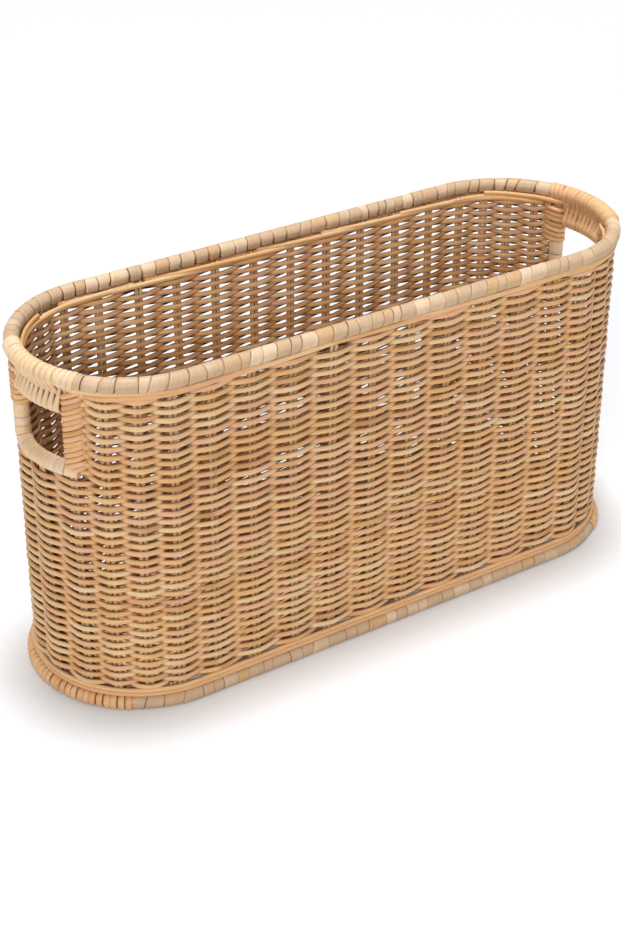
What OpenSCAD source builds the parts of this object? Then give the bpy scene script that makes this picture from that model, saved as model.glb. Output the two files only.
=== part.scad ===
// Toilet roll storage basket: a long wicker basket with rounded ends, a bound rim and foot,
// and a hand hole woven into each end. Sizes are in mm, +Z is up and the basket stands on z = 0.
// The long axis is X, the front is -Y, and the end at -X is called near, the one at +X far.
// An angle round an end starts at the front (-Y), is 90 at the tip and ends at the back (+Y).

/* [Basket] */
// Length over the bindings
basket_length = 460; // [400:1:520]
// Width over the bindings
basket_width = 157; // [150:1:170]
// Height of the rim hoop's middle line above the floor
rim_height = 236.8; // [236:0.1:238]

/* [Cane] */
// Thickness of a stake cane
stake_d = 2.8; // [2.4:0.1:2.8]
// Thickness of a weaver cane
weaver_d = 3; // [2.8:0.1:3.2]
// Height that a row of weaving takes
row_pitch = 3; // [2.9:0.1:3]
// Gap left beside a cane that touches another
cane_gap = 0.1; // [0.06:0.02:0.14]

/* [Weave] */
// Stakes on each long side
side_stakes = 10; // [8:2:12]
// Rows in each of the lower bands, which run right round
band_rows = [13, 13, 13, 12];
// Rows beside the hand holes, from the sill to the rim
upper_rows = 20; // [18:1:20]
// Height of the first row's underside
first_row_z = 14.1; // [14:0.1:15]

/* [Hand holes] */
// Middle of the near hand hole, in degrees round the end
near_mid = 82; // [78:1:92]
// Middle of the far hand hole
far_mid = 87.5; // [82:0.5:92]
// Half the angle between the two posts of a hand hole
post_half = 22; // [20:1:24]
// Height of the lower grip rod's middle line
grip_z = 217.5; // [215:0.5:219]
// Turns of the lashing over the two grip rods
grip_turns = 10; // [8:1:11]
// Loops of cane round a post
post_loops = 15; // [10:1:15]

/* [Rim and foot] */
// Radius of the rim hoop's rod
hoop_r = 3.4; // [3:0.1:3.6]
// Radius over the peel binding of the rim
rim_r = 5.1; // [4.8:0.1:5.2]
// Radius of the foot hoop's rod
foot_r = 3.9; // [3.6:0.1:4]
// Height of the foot hoop's middle line, less than its radius, so that its underside is flat
foot_z = 3.4; // [3:0.1:3.5]
// Width of one turn of peel
peel_w = 10; // [8:1:14]

/* [Hidden] */
$fn = 48;
far = 1;
near = -1;
half = (basket_length - basket_width) / 2;
rim_line = basket_width / 2 - rim_r;

// Play between a rod and what is wound on it
fit = 0.03;

// The stakes stand a little inside the rim hoop
rim_overhang = 2.2;
wall_line = rim_line - rim_overhang;

// Peel and cane are pressed thin over the foot and stop short of the floor
foot_wrap_t = 0.6;
foot_wrap_lift = 0.6;
foot_peel_r = foot_r + foot_wrap_t;
foot_line = basket_width / 2 - foot_peel_r;

// The foot's cane turns lie between these degrees and leave a share of each turn free on either side
foot_lash_from = 36;
foot_lash_turns = 26;
foot_lash_gap = 0.2;

// A row of weaving is a bar with the section area of its round cane
bar_t = PI / 4 * weaver_d * weaver_d / row_pitch;
half_t = bar_t / 2;

// A row's offset from the stake line: it bends more sharply outside a stake on a round end
stake_play = 0.5;
end_bulge = 0.65;
end_tuck = 0.1;
side_offset = stake_d / 2 + half_t + stake_play;
end_offset_out = side_offset + end_bulge;
end_offset_in = side_offset - end_tuck;
side_step = 2 * half / side_stakes;
first_angle = 9;

// Heights of the sill, the last row and the stakes
sill_r = 5.2;
sill_base_z = first_row_z + rows_below(len(band_rows)) * row_pitch;
sill_z = sill_base_z + sill_r + cane_gap;
weave_top_z = sill_base_z + upper_rows * row_pitch;
stake_base_z = foot_z + foot_peel_r + cane_gap;
stake_top_z = rim_height - rim_r - cane_gap;

// The strands that lie on the foot and under the rim
strand_r = 1.5;
strand_line = wall_line + stake_d / 2 + strand_r + cane_gap;

// The floor and the hoop that edges it
floor_z = 9.6;
floor_hoop_r = 2.5;
floor_hoop_line = wall_line - side_offset - half_t - floor_hoop_r - cane_gap;

// The sill rod bends up into the back post, and its peel ends where the post's loops begin
sill_core_r = 3.8;
elbow_r = 9;
peel_top_z = 200;

// Degrees from a post's middle to where the rows, the sill rod and its peel end
post_r = 6;
post_core_r = 4.4;
row_end_play = 0.3;
post_gap = arc_angle(post_r + row_end_play, wall_line);
sill_rod_start = post_gap + 0.4;
sill_peel_start = sill_rod_start + 1;

// The lower grip rod, and the thickness and width of the cane that lashes it to the rim hoop
grip_r = 2.6;
grip_line = wall_line + 0.8;
lash_d = 2.9;
lash_w = 2.9;

// Degrees from a post's middle to the rim's first turn of peel
lash_margin = 4;

// Degrees that a length takes up on an arc
function arc_angle(length, r) = length * 180 / PI / r;

// The middle of the hand hole at an end
function mid(end) = end == near ? near_mid : far_mid;

// Angles of an end's stakes: up to the front post, under the hole, and on from the back post
front_post_stake = 3;
hole_stake = 4;
back_post_stake = 5;
last_stake = 9;
function end_angles(end) = let(front = mid(end) - post_half, back = mid(end) + post_half)
    [for (k = [0:front_post_stake]) first_angle + (front - first_angle) * k / front_post_stake,
     mid(end),
     for (k = [back_post_stake:last_stake])
         back + (180 - first_angle - back) * (k - back_post_stake) / (last_stake - back_post_stake)];

// Where a stake stands: [middle x, direction outward, is it on an end]
function side_place(k, side) = [-half + side_step * (k + 0.5), side * 90, false];
function end_place(angle, end) = [end * half, end == far ? angle - 90 : 270 - angle, true];
function front_places() = [for (k = [0:side_stakes - 1]) side_place(k, -1)];
function back_places() = [for (k = [side_stakes - 1:-1:0]) side_place(k, 1)];
function end_places(end) = [for (t = end_angles(end)) end_place(t, end)];
function turned(list) = [for (k = [len(list) - 1:-1:0]) list[k]];
function part_of(list, from, to) = [for (k = [from:to]) list[k]];

// A point at a distance from the basket's middle plane or an end's middle
function at(place, r) = [place[0] + r * cos(place[1]), r * sin(place[1])];

// How far the weaver's middle line lies from the stake line at a stake
function offset_at(place, sign) =
    sign > 0 ? (place[2] ? end_offset_out : side_offset) : -(place[2] ? end_offset_in : side_offset);
function edge(places, parity, side) =
    [for (k = [0:len(places) - 1])
        let(sign = (k + parity) % 2 == 0 ? 1 : -1)
        at(places[k], wall_line + offset_at(places[k], sign) + side * half_t)];

// Moves its children to a stake's place, with X pointing outward
module stand_at(place, r) {
    translate([place[0], 0, 0])
        rotate(place[1])
            translate([r, 0, 0])
                children();
}

// A bar round an end, between two angles, whose profile is its children's shape at r = 0
module round_end(end, from, to, r) {
    start = end == far ? from - 90 : 270 - to;
    translate([end * half, 0, 0])
        rotate_extrude(angle = to - from, start = start)
            translate([r, 0])
                children();
}

// A bar along a long side
module along_side(side, from, to, r) {
    translate([from, side * r, 0])
        rotate([90, 0, 90])
            linear_extrude(to - from)
                children();
}

// A closed hoop round the whole basket
module hoop(r) {
    union() {
        round_end(far, 0, 180, r) children();
        round_end(near, 0, 180, r) children();
        along_side(-1, -half, half, r) children();
        along_side(1, -half, half, r) children();
    }
}

module ring_profile(outer_r, inner_r, z) {
    translate([0, z])
        difference() {
            circle(outer_r);
            circle(inner_r);
        }
}

// Turns of peel side by side along one long side and on round both ends up to the hand holes
module peel_turns(side, r, from_near, from_far) {
    count = round(2 * half / peel_w);
    step = 2 * half / count;
    for (k = [0:count - 1])
        along_side(side, -half + step * k + cane_gap, -half + step * (k + 1) - cane_gap, r)
            children();
    for (end = [near, far]) {
        reach = end == near ? from_near : from_far;
        turns = round(reach / arc_angle(peel_w, r));
        turn = reach / turns;
        gap = arc_angle(cane_gap, r);
        for (k = [0:turns - 1]) {
            near_edge = side < 0 ? turn * k : 180 - turn * (k + 1);
            round_end(end, near_edge + gap, near_edge + turn - gap, r)
                children();
        }
    }
}

// Foot

// Keeps what lies above a height
module above(z) {
    reach = 3 * foot_r;
    intersection() {
        children();
        translate([-reach, z])
            square([2 * reach, reach]);
    }
}

module foot_profile() {
    above(0)
        translate([0, foot_z])
            circle(foot_r);
}

// Peel or cane over the foot rod, open where the rod's flat meets the floor
module foot_wrap_profile(thick) {
    above(foot_wrap_lift)
        ring_profile(foot_r + thick, foot_r + fit, foot_z);
}

module foot_hoop() {
    color("peru")
        hoop(foot_line)
            foot_profile();
}

module foot_strands() {
    color("burlywood")
        for (k = [0:1])
            hoop(strand_line)
                translate([0, foot_z + foot_peel_r + strand_r + cane_gap + k * (2 * strand_r + cane_gap)])
                    circle(strand_r);
}

module foot_peel(side) {
    peel_turns(side, foot_line, foot_lash_from, foot_lash_from)
        foot_wrap_profile(foot_wrap_t - fit);
}

module foot_peel_front() {
    color("wheat")
        foot_peel(-1);
}

module foot_peel_back() {
    color("wheat")
        foot_peel(1);
}

// Turns of round cane over the foot rod round an end
module foot_lashing(end) {
    turn = (180 - 2 * foot_lash_from) / foot_lash_turns;
    for (k = [0:foot_lash_turns - 1]) {
        from = foot_lash_from + turn * (k + foot_lash_gap);
        to = foot_lash_from + turn * (k + 1 - foot_lash_gap);
        round_end(end, from, to, foot_line)
            foot_wrap_profile(foot_wrap_t);
    }
}

module foot_lashing_near() {
    color("tan")
        foot_lashing(near);
}

module foot_lashing_far() {
    color("tan")
        foot_lashing(far);
}

// Floor

module floor_hoop() {
    color("peru")
        hoop(floor_hoop_line)
            translate([0, floor_z + stake_d / 2 + floor_hoop_r + cane_gap])
                circle(floor_hoop_r);
}

// Cross sticks in pairs, in line with the stakes of the long sides and on into the round ends
end_sticks = 2;
stick_play = 0.5;
end_stick_play = 1.5;
stick_count = side_stakes + 2 * end_sticks;
function stick_x(k) = side_step * (k - (stick_count - 1) / 2);
function stick_reach(x) = let(past = max(abs(x) - half, 0), reach = wall_line - stake_d / 2 - stick_play)
    sqrt(reach * reach - past * past) - (past > 0 ? end_stick_play : 0);

module floor_sticks() {
    color("burlywood")
        for (k = [0:stick_count - 1], beside = [-1, 1])
            let(x = stick_x(k) + beside * (stake_d + cane_gap) / 2)
                translate([x, stick_reach(x), floor_z])
                    rotate([90, 0, 0])
                        cylinder(d = stake_d, h = 2 * stick_reach(x));
}

// A weaver of the floor runs lengthwise, over one pair of cross sticks and under the next
floor_row = 3.1;
floor_margin = 1;
floor_rows = 2 * floor((floor_hoop_line - floor_hoop_r - floor_margin) / floor_row) - 1;
function floor_line(reach, parity, side) = concat(
    [[-reach, floor_z + side * half_t]],
    [for (k = [0:stick_count - 1])
        if (abs(stick_x(k)) < reach - stake_d)
            [stick_x(k), floor_z + ((k + parity) % 2 == 0 ? 1 : -1) * side_offset + side * half_t]],
    [[reach, floor_z + side * half_t]]);

module floor_weave() {
    color("tan")
        for (k = [0:floor_rows - 1]) {
            y = (k - (floor_rows - 1) / 2) * floor_row;
            edge_y = abs(y) + floor_row / 2;
            room = floor_hoop_line - floor_hoop_r - cane_gap;
            reach = half + sqrt(room * room - edge_y * edge_y);
            translate([0, y + (floor_row - cane_gap) / 2, 0])
                rotate([90, 0, 0])
                    linear_extrude(floor_row - cane_gap)
                        polygon(concat(floor_line(reach, k % 2, -1), turned(floor_line(reach, k % 2, 1))));
        }
}

// Stakes: the pair under the hole and the one under the back post stop at the sill

module stake_pair(place, top) {
    stand_at(place, wall_line)
        for (beside = [-1, 1])
            translate([0, beside * (stake_d + cane_gap) / 2, stake_base_z])
                cylinder(d = stake_d, h = top - stake_base_z);
}

module end_stakes(places) {
    for (k = [0:len(places) - 1])
        stake_pair(places[k], k == hole_stake || k == back_post_stake ? sill_base_z : stake_top_z);
}

module stakes_front() {
    color("burlywood")
        for (place = front_places())
            stake_pair(place, stake_top_z);
}

module stakes_back() {
    color("burlywood")
        for (place = back_places())
            stake_pair(place, stake_top_z);
}

module stakes_near() {
    color("burlywood")
        end_stakes(end_places(near));
}

module stakes_far() {
    color("burlywood")
        end_stakes(end_places(far));
}

// Woven wall

// One row right round: the cane passes outside one pair of stakes and inside the next
module row(parity) {
    places = concat(front_places(), end_places(far), back_places(), turned(end_places(near)));
    difference() {
        polygon(edge(places, parity, 1));
        polygon(edge(places, parity, -1));
    }
}

// A band of rows, which bear on each other where they cross between the stakes
function rows_below(number) = number == 0 ? 0 : band_rows[number - 1] + rows_below(number - 1);

module band(number) {
    below = rows_below(number);
    union()
        for (k = [0:band_rows[number] - 1])
            translate([0, 0, first_row_z + (below + k) * row_pitch])
                linear_extrude(row_pitch)
                    row((below + k) % 2);
}

module weave_band_1() {
    color("burlywood")
        band(0);
}

module weave_band_2() {
    color("tan")
        band(1);
}

module weave_band_3() {
    color("burlywood")
        band(2);
}

module weave_band_4() {
    color("tan")
        band(3);
}

// The rows beside the hand holes run from post to post and turn back round each post
row_end_offset = 1.6;
function up_to_post(end) = part_of(end_places(end), 0, front_post_stake - 1);
function past_post(end) = part_of(end_places(end), back_post_stake + 1, last_stake);
function upper_front_places() = concat(turned(up_to_post(near)), front_places(), up_to_post(far));
function upper_back_places() = concat(past_post(far), back_places(), turned(past_post(near)));
function end_point(end, angle, sign, side) =
    at(end_place(angle, end), wall_line + sign * row_end_offset + side * half_t);

module upper_row(places, parity, near_angle, far_angle, from_near) {
    first = from_near ? near : far;
    last = from_near ? far : near;
    first_at = from_near ? near_angle : far_angle;
    last_at = from_near ? far_angle : near_angle;
    first_sign = parity == 0 ? -1 : 1;
    last_sign = (len(places) + parity) % 2 == 0 ? 1 : -1;
    polygon(concat(
        [end_point(first, first_at, first_sign, 1)],
        edge(places, parity, 1),
        [end_point(last, last_at, last_sign, 1), end_point(last, last_at, last_sign, -1)],
        turned(edge(places, parity, -1)),
        [end_point(first, first_at, first_sign, -1)]));
}

module weave_upper_front() {
    color("burlywood")
        union()
            for (k = [0:upper_rows - 1])
                translate([0, 0, sill_base_z + k * row_pitch])
                    linear_extrude(row_pitch)
                        upper_row(upper_front_places(), k % 2, near_mid - post_half - post_gap,
                                  far_mid - post_half - post_gap, true);
}

module weave_upper_back() {
    color("burlywood")
        union()
            for (k = [0:upper_rows - 1])
                translate([0, 0, sill_base_z + k * row_pitch])
                    linear_extrude(row_pitch)
                        upper_row(upper_back_places(), (k + 1) % 2, near_mid + post_half + post_gap,
                                  far_mid + post_half + post_gap, false);
}

// Rim

module rim_hoop() {
    color("peru")
        hoop(rim_line)
            translate([0, rim_height])
                circle(hoop_r);
}

// One strand lies on each side of the stakes, between the last row and the rim
strand_z = (weave_top_z + rim_height - rim_r) / 2;

module side_strand(line, side) {
    union() {
        along_side(side, -half, half, line)
            translate([0, strand_z])
                circle(strand_r);
        for (end = [near, far]) {
            stop = side < 0 ? mid(end) - post_half - post_gap : mid(end) + post_half + post_gap;
            round_end(end, side < 0 ? 0 : stop, side < 0 ? stop : 180, line)
                translate([0, strand_z])
                    circle(strand_r);
        }
    }
}

module rim_strand_outer() {
    color("burlywood")
        for (side = [-1, 1])
            side_strand(strand_line, side);
}

module rim_strand_inner() {
    color("burlywood")
        for (side = [-1, 1])
            side_strand(2 * wall_line - strand_line, side);
}

// Degrees of an end that the rim's peel covers on one side of the hand hole
function peel_reach(end, side) = (side < 0 ? mid(end) : 180 - mid(end)) - post_half - lash_margin;

module rim_peel(side) {
    peel_turns(side, rim_line, peel_reach(near, side), peel_reach(far, side))
        ring_profile(rim_r, hoop_r + fit, rim_height);
}

module rim_peel_front() {
    color("wheat")
        rim_peel(-1);
}

module rim_peel_back() {
    color("wheat")
        rim_peel(1);
}

// Hand holes

module grip_rod(end) {
    reach = post_half - post_gap;
    round_end(end, mid(end) - reach, mid(end) + reach, grip_line)
        translate([0, grip_z])
            circle(grip_r);
}

hoop_at = [rim_line - grip_line, rim_height];
rod_at = [0, grip_z];

// The straight stretch of cane that crosses from one side of the rod to the other side of the hoop
function crossing(side) =
    let(over_hoop = hoop_r + lash_d / 2, over_rod = grip_r + lash_d / 2, wide = lash_d / 2 - cane_gap,
        apart = norm(hoop_at - rod_at), up = (hoop_at - rod_at) / apart, across = [up[1], -up[0]],
        lean = asin((over_hoop + over_rod) / apart),
        out = side * cos(lean) * across + sin(lean) * up)
    [rod_at + (over_rod + wide) * out, hoop_at - (over_hoop - wide) * out,
     hoop_at - (over_hoop + wide) * out, rod_at + (over_rod - wide) * out];

// One turn of the lashing: over the hoop, across, and under the grip rod, as a figure of eight
module eight() {
    difference() {
        union() {
            translate(hoop_at)
                circle(hoop_r + lash_d);
            translate(rod_at)
                circle(grip_r + lash_d);
            polygon(crossing(-1));
            polygon(crossing(1));
        }
        translate(hoop_at)
            circle(hoop_r + fit);
        translate(rod_at)
            circle(grip_r + fit);
    }
}

// Figures of eight between the posts, and single turns round the hoop above each post
module grip_lashing(end) {
    reach = post_half - post_gap;
    step = 2 * reach / grip_turns;
    for (k = [0:grip_turns - 1])
        stand_at(end_place(mid(end) - reach + step * (k + 0.5), end), grip_line)
            rotate([90, 0, 0])
                linear_extrude(lash_w, center = true)
                    eight();
    for (side = [-1, 1], k = [0:1])
        stand_at(end_place(mid(end) + side * (reach + step * (k + 0.5)), end), grip_line)
            rotate([90, 0, 0])
                linear_extrude(lash_w, center = true)
                    translate([hoop_at[0], 0])
                        ring_profile(hoop_r + lash_d, hoop_r + fit, rim_height);
}

// The back post stands where the sill rod's elbow leaves it
module at_back_post(end) {
    stand_at(end_place(elbow_start(end), end), wall_line)
        translate([0, end * elbow_r, 0])
            children();
}

function elbow_start(end) = mid(end) + post_half - atan(elbow_r / wall_line);

// The sill rod runs under the hole and bends up into the back post, in three lengths that butt
module sill_line(end, from, top) {
    butt_angle = arc_angle(fit, elbow_r);
    round_end(end, from, elbow_start(end) - arc_angle(fit, wall_line), wall_line)
        translate([0, sill_z])
            children();
    stand_at(end_place(elbow_start(end), end), wall_line)
        translate([0, 0, sill_z + elbow_r])
            rotate([0, 90, 0])
                rotate([end == far ? 0 : 180, 0, 0])
                    rotate_extrude(angle = 90 - 2 * butt_angle, start = butt_angle)
                        translate([elbow_r, 0])
                            children();
    at_back_post(end)
        translate([0, 0, sill_z + elbow_r + fit])
            linear_extrude(top - sill_z - elbow_r - fit)
                children();
}

module sill_rod(end) {
    sill_line(end, mid(end) - post_half + sill_rod_start, stake_top_z)
        circle(sill_core_r);
}

module sill_peel(end) {
    sill_line(end, mid(end) - post_half + sill_peel_start, peel_top_z)
        ring_profile(sill_r, sill_core_r + fit, 0);
}

// The weavers' loops stacked round a post
module loops(bore, from, to, count) {
    step = (to - from) / count;
    bead = (step - cane_gap) / 2;
    rotate_extrude()
        union() {
            translate([bore, from])
                square([post_core_r - bore, to - from]);
            for (k = [0:count - 1])
                translate([post_r - bead, from + step * (k + 0.5)])
                    circle(bead);
        }
}

module front_post(end) {
    stand_at(end_place(mid(end) - post_half, end), wall_line)
        loops(stake_d + cane_gap, sill_base_z + cane_gap, weave_top_z, post_loops);
}

module back_post(end) {
    at_back_post(end)
        loops(sill_core_r + fit, peel_top_z + cane_gap, weave_top_z, round(post_loops / 2));
}

module near_grip_rod() {
    color("peru")
        grip_rod(near);
}

module near_grip_lashing() {
    color("wheat")
        grip_lashing(near);
}

module near_sill_rod() {
    color("peru")
        sill_rod(near);
}

module near_sill_peel() {
    color("wheat")
        sill_peel(near);
}

module near_front_post() {
    color("tan")
        front_post(near);
}

module near_back_post() {
    color("tan")
        back_post(near);
}

module far_grip_rod() {
    color("peru")
        grip_rod(far);
}

module far_grip_lashing() {
    color("wheat")
        grip_lashing(far);
}

module far_sill_rod() {
    color("peru")
        sill_rod(far);
}

module far_sill_peel() {
    color("wheat")
        sill_peel(far);
}

module far_front_post() {
    color("tan")
        front_post(far);
}

module far_back_post() {
    color("tan")
        back_post(far);
}

foot_hoop();
foot_strands();
foot_peel_front();
foot_peel_back();
foot_lashing_near();
foot_lashing_far();
floor_hoop();
floor_sticks();
floor_weave();
stakes_front();
stakes_back();
stakes_near();
stakes_far();
weave_band_1();
weave_band_2();
weave_band_3();
weave_band_4();
weave_upper_front();
weave_upper_back();
rim_hoop();
rim_strand_outer();
rim_strand_inner();
rim_peel_front();
rim_peel_back();
near_grip_rod();
near_grip_lashing();
near_sill_rod();
near_sill_peel();
near_front_post();
near_back_post();
far_grip_rod();
far_grip_lashing();
far_sill_rod();
far_sill_peel();
far_front_post();
far_back_post();
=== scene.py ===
"""Dresses the wicker basket: every cane, rod and turn of peel, then the stage and the camera.

Sizes are in metres. The long axis is X, the front is -Y, the end at -X is near and the other is far.
A place along the wall is its distance round the stake line: front, far end, back, near end.
An angle round an end starts where the end leaves the front.
"""

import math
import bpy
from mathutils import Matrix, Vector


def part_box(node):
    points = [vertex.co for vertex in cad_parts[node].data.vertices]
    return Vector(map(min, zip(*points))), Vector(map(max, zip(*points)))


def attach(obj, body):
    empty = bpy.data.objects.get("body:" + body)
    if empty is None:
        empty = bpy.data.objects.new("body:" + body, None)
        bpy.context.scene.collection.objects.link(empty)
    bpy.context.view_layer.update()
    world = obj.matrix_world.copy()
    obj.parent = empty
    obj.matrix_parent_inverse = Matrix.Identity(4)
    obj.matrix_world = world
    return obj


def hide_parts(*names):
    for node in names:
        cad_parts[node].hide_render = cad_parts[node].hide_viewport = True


bl_info = {
    "name": "Wicker storage basket",
    "version": (1, 0, 0),
    "blender": (4, 5, 0),
    "location": "3D View > Sidebar > Basket",
    "description": "Weaves and binds a long wicker basket with a hand hole in each end",
    "category": "Add Mesh",
}

import bpy
import numpy as np
from bpy.props import FloatProperty, FloatVectorProperty, IntProperty, PointerProperty
from bpy.types import Operator, Panel, PropertyGroup
from mathutils import Matrix, Vector

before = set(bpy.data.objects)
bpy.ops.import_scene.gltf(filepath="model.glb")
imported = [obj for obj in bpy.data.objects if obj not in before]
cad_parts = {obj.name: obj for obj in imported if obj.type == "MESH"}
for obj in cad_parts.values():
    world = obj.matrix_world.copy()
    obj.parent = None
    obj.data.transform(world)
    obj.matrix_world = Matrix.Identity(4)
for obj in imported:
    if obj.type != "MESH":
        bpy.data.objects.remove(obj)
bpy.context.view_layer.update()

MM = 0.001
UP = np.array([0.0, 0.0, 1.0])
NEAR, FAR = -1, 1
FRONT, BACK = -1, 1
ENDS = ((NEAR, "near"), (FAR, "far"))
SIDES = ((FRONT, "front"), (BACK, "back"))

RIM_LOW, RIM_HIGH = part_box("rim_hoop")
STAKES_LOW, STAKES_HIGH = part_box("stakes_front")
UPPER_LOW, UPPER_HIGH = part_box("weave_upper_front")
STRAND_LOW, STRAND_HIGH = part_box("rim_strand_outer")
FOOT_STRANDS_LOW, FOOT_STRANDS_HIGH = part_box("foot_strands")
GRIP_LOW, GRIP_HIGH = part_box("near_grip_rod")
STICKS_LOW, STICKS_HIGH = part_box("floor_sticks")
FLOOR_HOOP_LOW, FLOOR_HOOP_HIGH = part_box("floor_hoop")
FIRST_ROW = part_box("weave_band_1")[0].z
FOOT_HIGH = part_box("foot_hoop")[1]
SILL_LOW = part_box("near_sill_rod")[0]

RIM_ROD = (RIM_HIGH.z - RIM_LOW.z) / 2
FOOT_ROD = 3.9 * MM
SILL_ROD = 3.8 * MM


def middle(low, high):
    return (low + high) / 2


def length_value(name, description, default):
    return FloatProperty(name=name, description=description, default=default, unit="LENGTH")


def angle_value(name, description, degrees):
    default = math.radians(degrees)
    return FloatProperty(name=name, description=description, default=default, subtype="ANGLE")


def power_value(name, description, watts):
    return FloatProperty(name=name, description=description, default=watts, unit="POWER")


def count_value(name, description, default, low, high):
    return IntProperty(name=name, description=description, default=default, min=low, max=high)


def colour_value(name, description, *default):
    return FloatVectorProperty(
        name=name, description=description, default=default, subtype="COLOR", size=3
    )


class BasketSizes(PropertyGroup):
    """The basket's main sizes, most of them read from the frame."""

    half: length_value(
        "Half of a straight side",
        "From the middle of a long side to where the round end begins",
        RIM_HIGH.x - RIM_HIGH.y,
    )
    stake_line: length_value(
        "Stake line",
        "Distance of the stakes from the basket's middle plane",
        -middle(STAKES_LOW.y, STAKES_HIGH.y),
    )
    rim_rod: length_value("Rim rod radius", "Radius of the rod inside the rim's binding", RIM_ROD)
    rim_line: length_value(
        "Rim line",
        "Distance of the rim rod from the basket's middle plane",
        RIM_HIGH.y - RIM_ROD,
    )
    rim_height: length_value(
        "Rim height", "Height of the rim rod's middle", middle(RIM_LOW.z, RIM_HIGH.z)
    )
    foot_rod: length_value(
        "Foot rod radius", "Radius of the rod that the basket stands on", FOOT_ROD
    )
    foot_line: length_value(
        "Foot line",
        "Distance of the foot rod from the basket's middle plane",
        FOOT_HIGH.y - FOOT_ROD,
    )
    foot_height: length_value(
        "Foot height", "Height of the foot rod's middle", FOOT_HIGH.z - FOOT_ROD
    )
    near_hole: angle_value(
        "Near hand hole", "Middle of the near hand hole, round the end from the front", 82
    )
    far_hole: angle_value(
        "Far hand hole", "Middle of the far hand hole, round the end from the front", 87.5
    )
    post_half: angle_value(
        "Half width of a hand hole", "Angle from the middle of a hand hole to a post", 22
    )
    grip_line: length_value(
        "Grip line",
        "Distance of the grip rods from the middle of the round end",
        72.0 * MM,
    )
    grip_rod: length_value(
        "Grip rod radius", "Radius of the lower grip rod", (GRIP_HIGH.z - GRIP_LOW.z) / 2
    )
    grip_height: length_value(
        "Grip height", "Height of the lower grip rod's middle", middle(GRIP_LOW.z, GRIP_HIGH.z)
    )
    sill_rod: length_value("Sill rod radius", "Radius of the rod under a hand hole", SILL_ROD)
    sill_height: length_value(
        "Sill height", "Height of the sill rod's middle", SILL_LOW.z + SILL_ROD
    )


class CaneSizes(PropertyGroup):
    """Thicknesses and counts of the canes."""

    stake: length_value("Stake cane", "Diameter of a stake cane", 3.1 * MM)
    weaver_wide: length_value(
        "Weaver height", "Height of a weaver's section where it passes a stake", 4.05 * MM
    )
    weaver_thick: length_value(
        "Weaver thickness", "Thickness of a weaver through the wall", 2.95 * MM
    )
    pitch: length_value("Row pitch", "Height that one row of weaving takes", 3.0 * MM)
    swing: length_value(
        "Swing", "How far a weaver's middle passes outside or inside the stakes", 3.3 * MM
    )
    steps: count_value("Steps", "Rings of a weaver's mesh from one stake to the next", 8, 4, 16)
    sides: count_value("Sides", "Sides of a cane's mesh", 8, 6, 16)
    grip_turns: count_value(
        "Lashing turns", "Figures of eight over a pair of grip rods", 10, 6, 14
    )


class CaneColours(PropertyGroup):
    """Colours of the cane, the rods and the peel."""

    pale: colour_value("Pale cane", "The palest weavers", 0.80, 0.545, 0.295)
    honey: colour_value("Honey cane", "Most of the weavers", 0.73, 0.405, 0.165)
    pink: colour_value("Pink cane", "Weavers with a pinkish cast", 0.74, 0.405, 0.225)
    brown: colour_value("Brown cane", "The darkest weavers", 0.50, 0.25, 0.09)
    stake: colour_value("Stake cane", "Most of the stakes", 0.84, 0.55, 0.29)
    peel: colour_value("Peel", "The flat peel of the rim and the foot", 0.56, 0.385, 0.235)
    cream: colour_value(
        "Cream cane", "The near lashing and the peel of the sills", 0.79, 0.585, 0.395
    )
    peel_brown: colour_value("Brown peel", "The darker turns of peel", 0.60, 0.37, 0.18)
    rod: colour_value("Rod", "The rods under the bindings", 0.30, 0.15, 0.06)


def sizes():
    return bpy.context.scene.basket_sizes


def canes():
    return bpy.context.scene.basket_canes


def colours():
    return bpy.context.scene.basket_colours


# Places round the basket

SIDE_PAIRS = 10
END_PAIRS = 10
BEFORE_HOLE = 4  # stake pairs of an end from the front up to the hand hole's front post
AFTER_HOLE = END_PAIRS - BEFORE_HOLE - 1  # and from its back post on, with one under the hole
FIRST_ANGLE = math.radians(9)
BAND_ROWS = (13, 13, 13, 12)
UPPER_ROWS = 20
SILL_BASE = UPPER_LOW.z
WEAVE_TOP = UPPER_HIGH.z
# Each step draws its own chances, so that a change to one leaves the others as they are
SEEDS = {
    "wall": 11,
    "upper wall": 23,
    "stakes": 37,
    "rim strands": 41,
    "rim peel": 53,
    "hand holes": 67,
    "foot": 71,
    "floor": 83,
}
DRIFT_WAVES = (  # size, waves in a lap, radians up the wall and radians at the start
    (0.9, 3, 4.0, 0.0),
    (0.7, 7, -3.1, 1.3),
    (0.5, 13, 7.3, 0.4),
)
DRIFT_HEIGHT = 240 * MM


def side_length():
    return 2 * sizes().half


def end_length():
    return math.pi * sizes().stake_line


def lap():
    return 2 * (side_length() + end_length())


def around(place, out, height):
    """Points at places, moved outward from the stake line and set at a height, and which way is out."""
    half, line = sizes().half, sizes().stake_line
    side, end = side_length(), end_length()
    place, out, height = np.broadcast_arrays(np.mod(place, lap()), out, height)
    spans = [place < side, place < side + end, place < 2 * side + end]
    centre = np.select(spans, [place - half, half, half - (place - side - end)], -half)
    turn = np.select(
        spans,
        [-math.pi / 2, -math.pi / 2 + (place - side) / line, math.pi / 2],
        math.pi / 2 + (place - 2 * side - end) / line,
    )
    away = np.stack([np.cos(turn), np.sin(turn), np.zeros_like(turn)], -1)
    points = away * (line + out)[..., None]
    points[..., 0] += centre
    points[..., 2] = height
    return points, away


def round_end(end, angle, line, height):
    """Points at angles of an end, at a distance from its middle and a height, and which way is out."""
    turn = angle - math.pi / 2 if end == FAR else 1.5 * math.pi - angle
    away = np.stack([np.cos(turn), np.sin(turn), np.zeros_like(turn)], -1)
    points = away * np.broadcast_to(line, turn.shape)[:, None]
    points[:, 0] += end * sizes().half
    points[:, 2] = height
    return points, away


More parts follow.
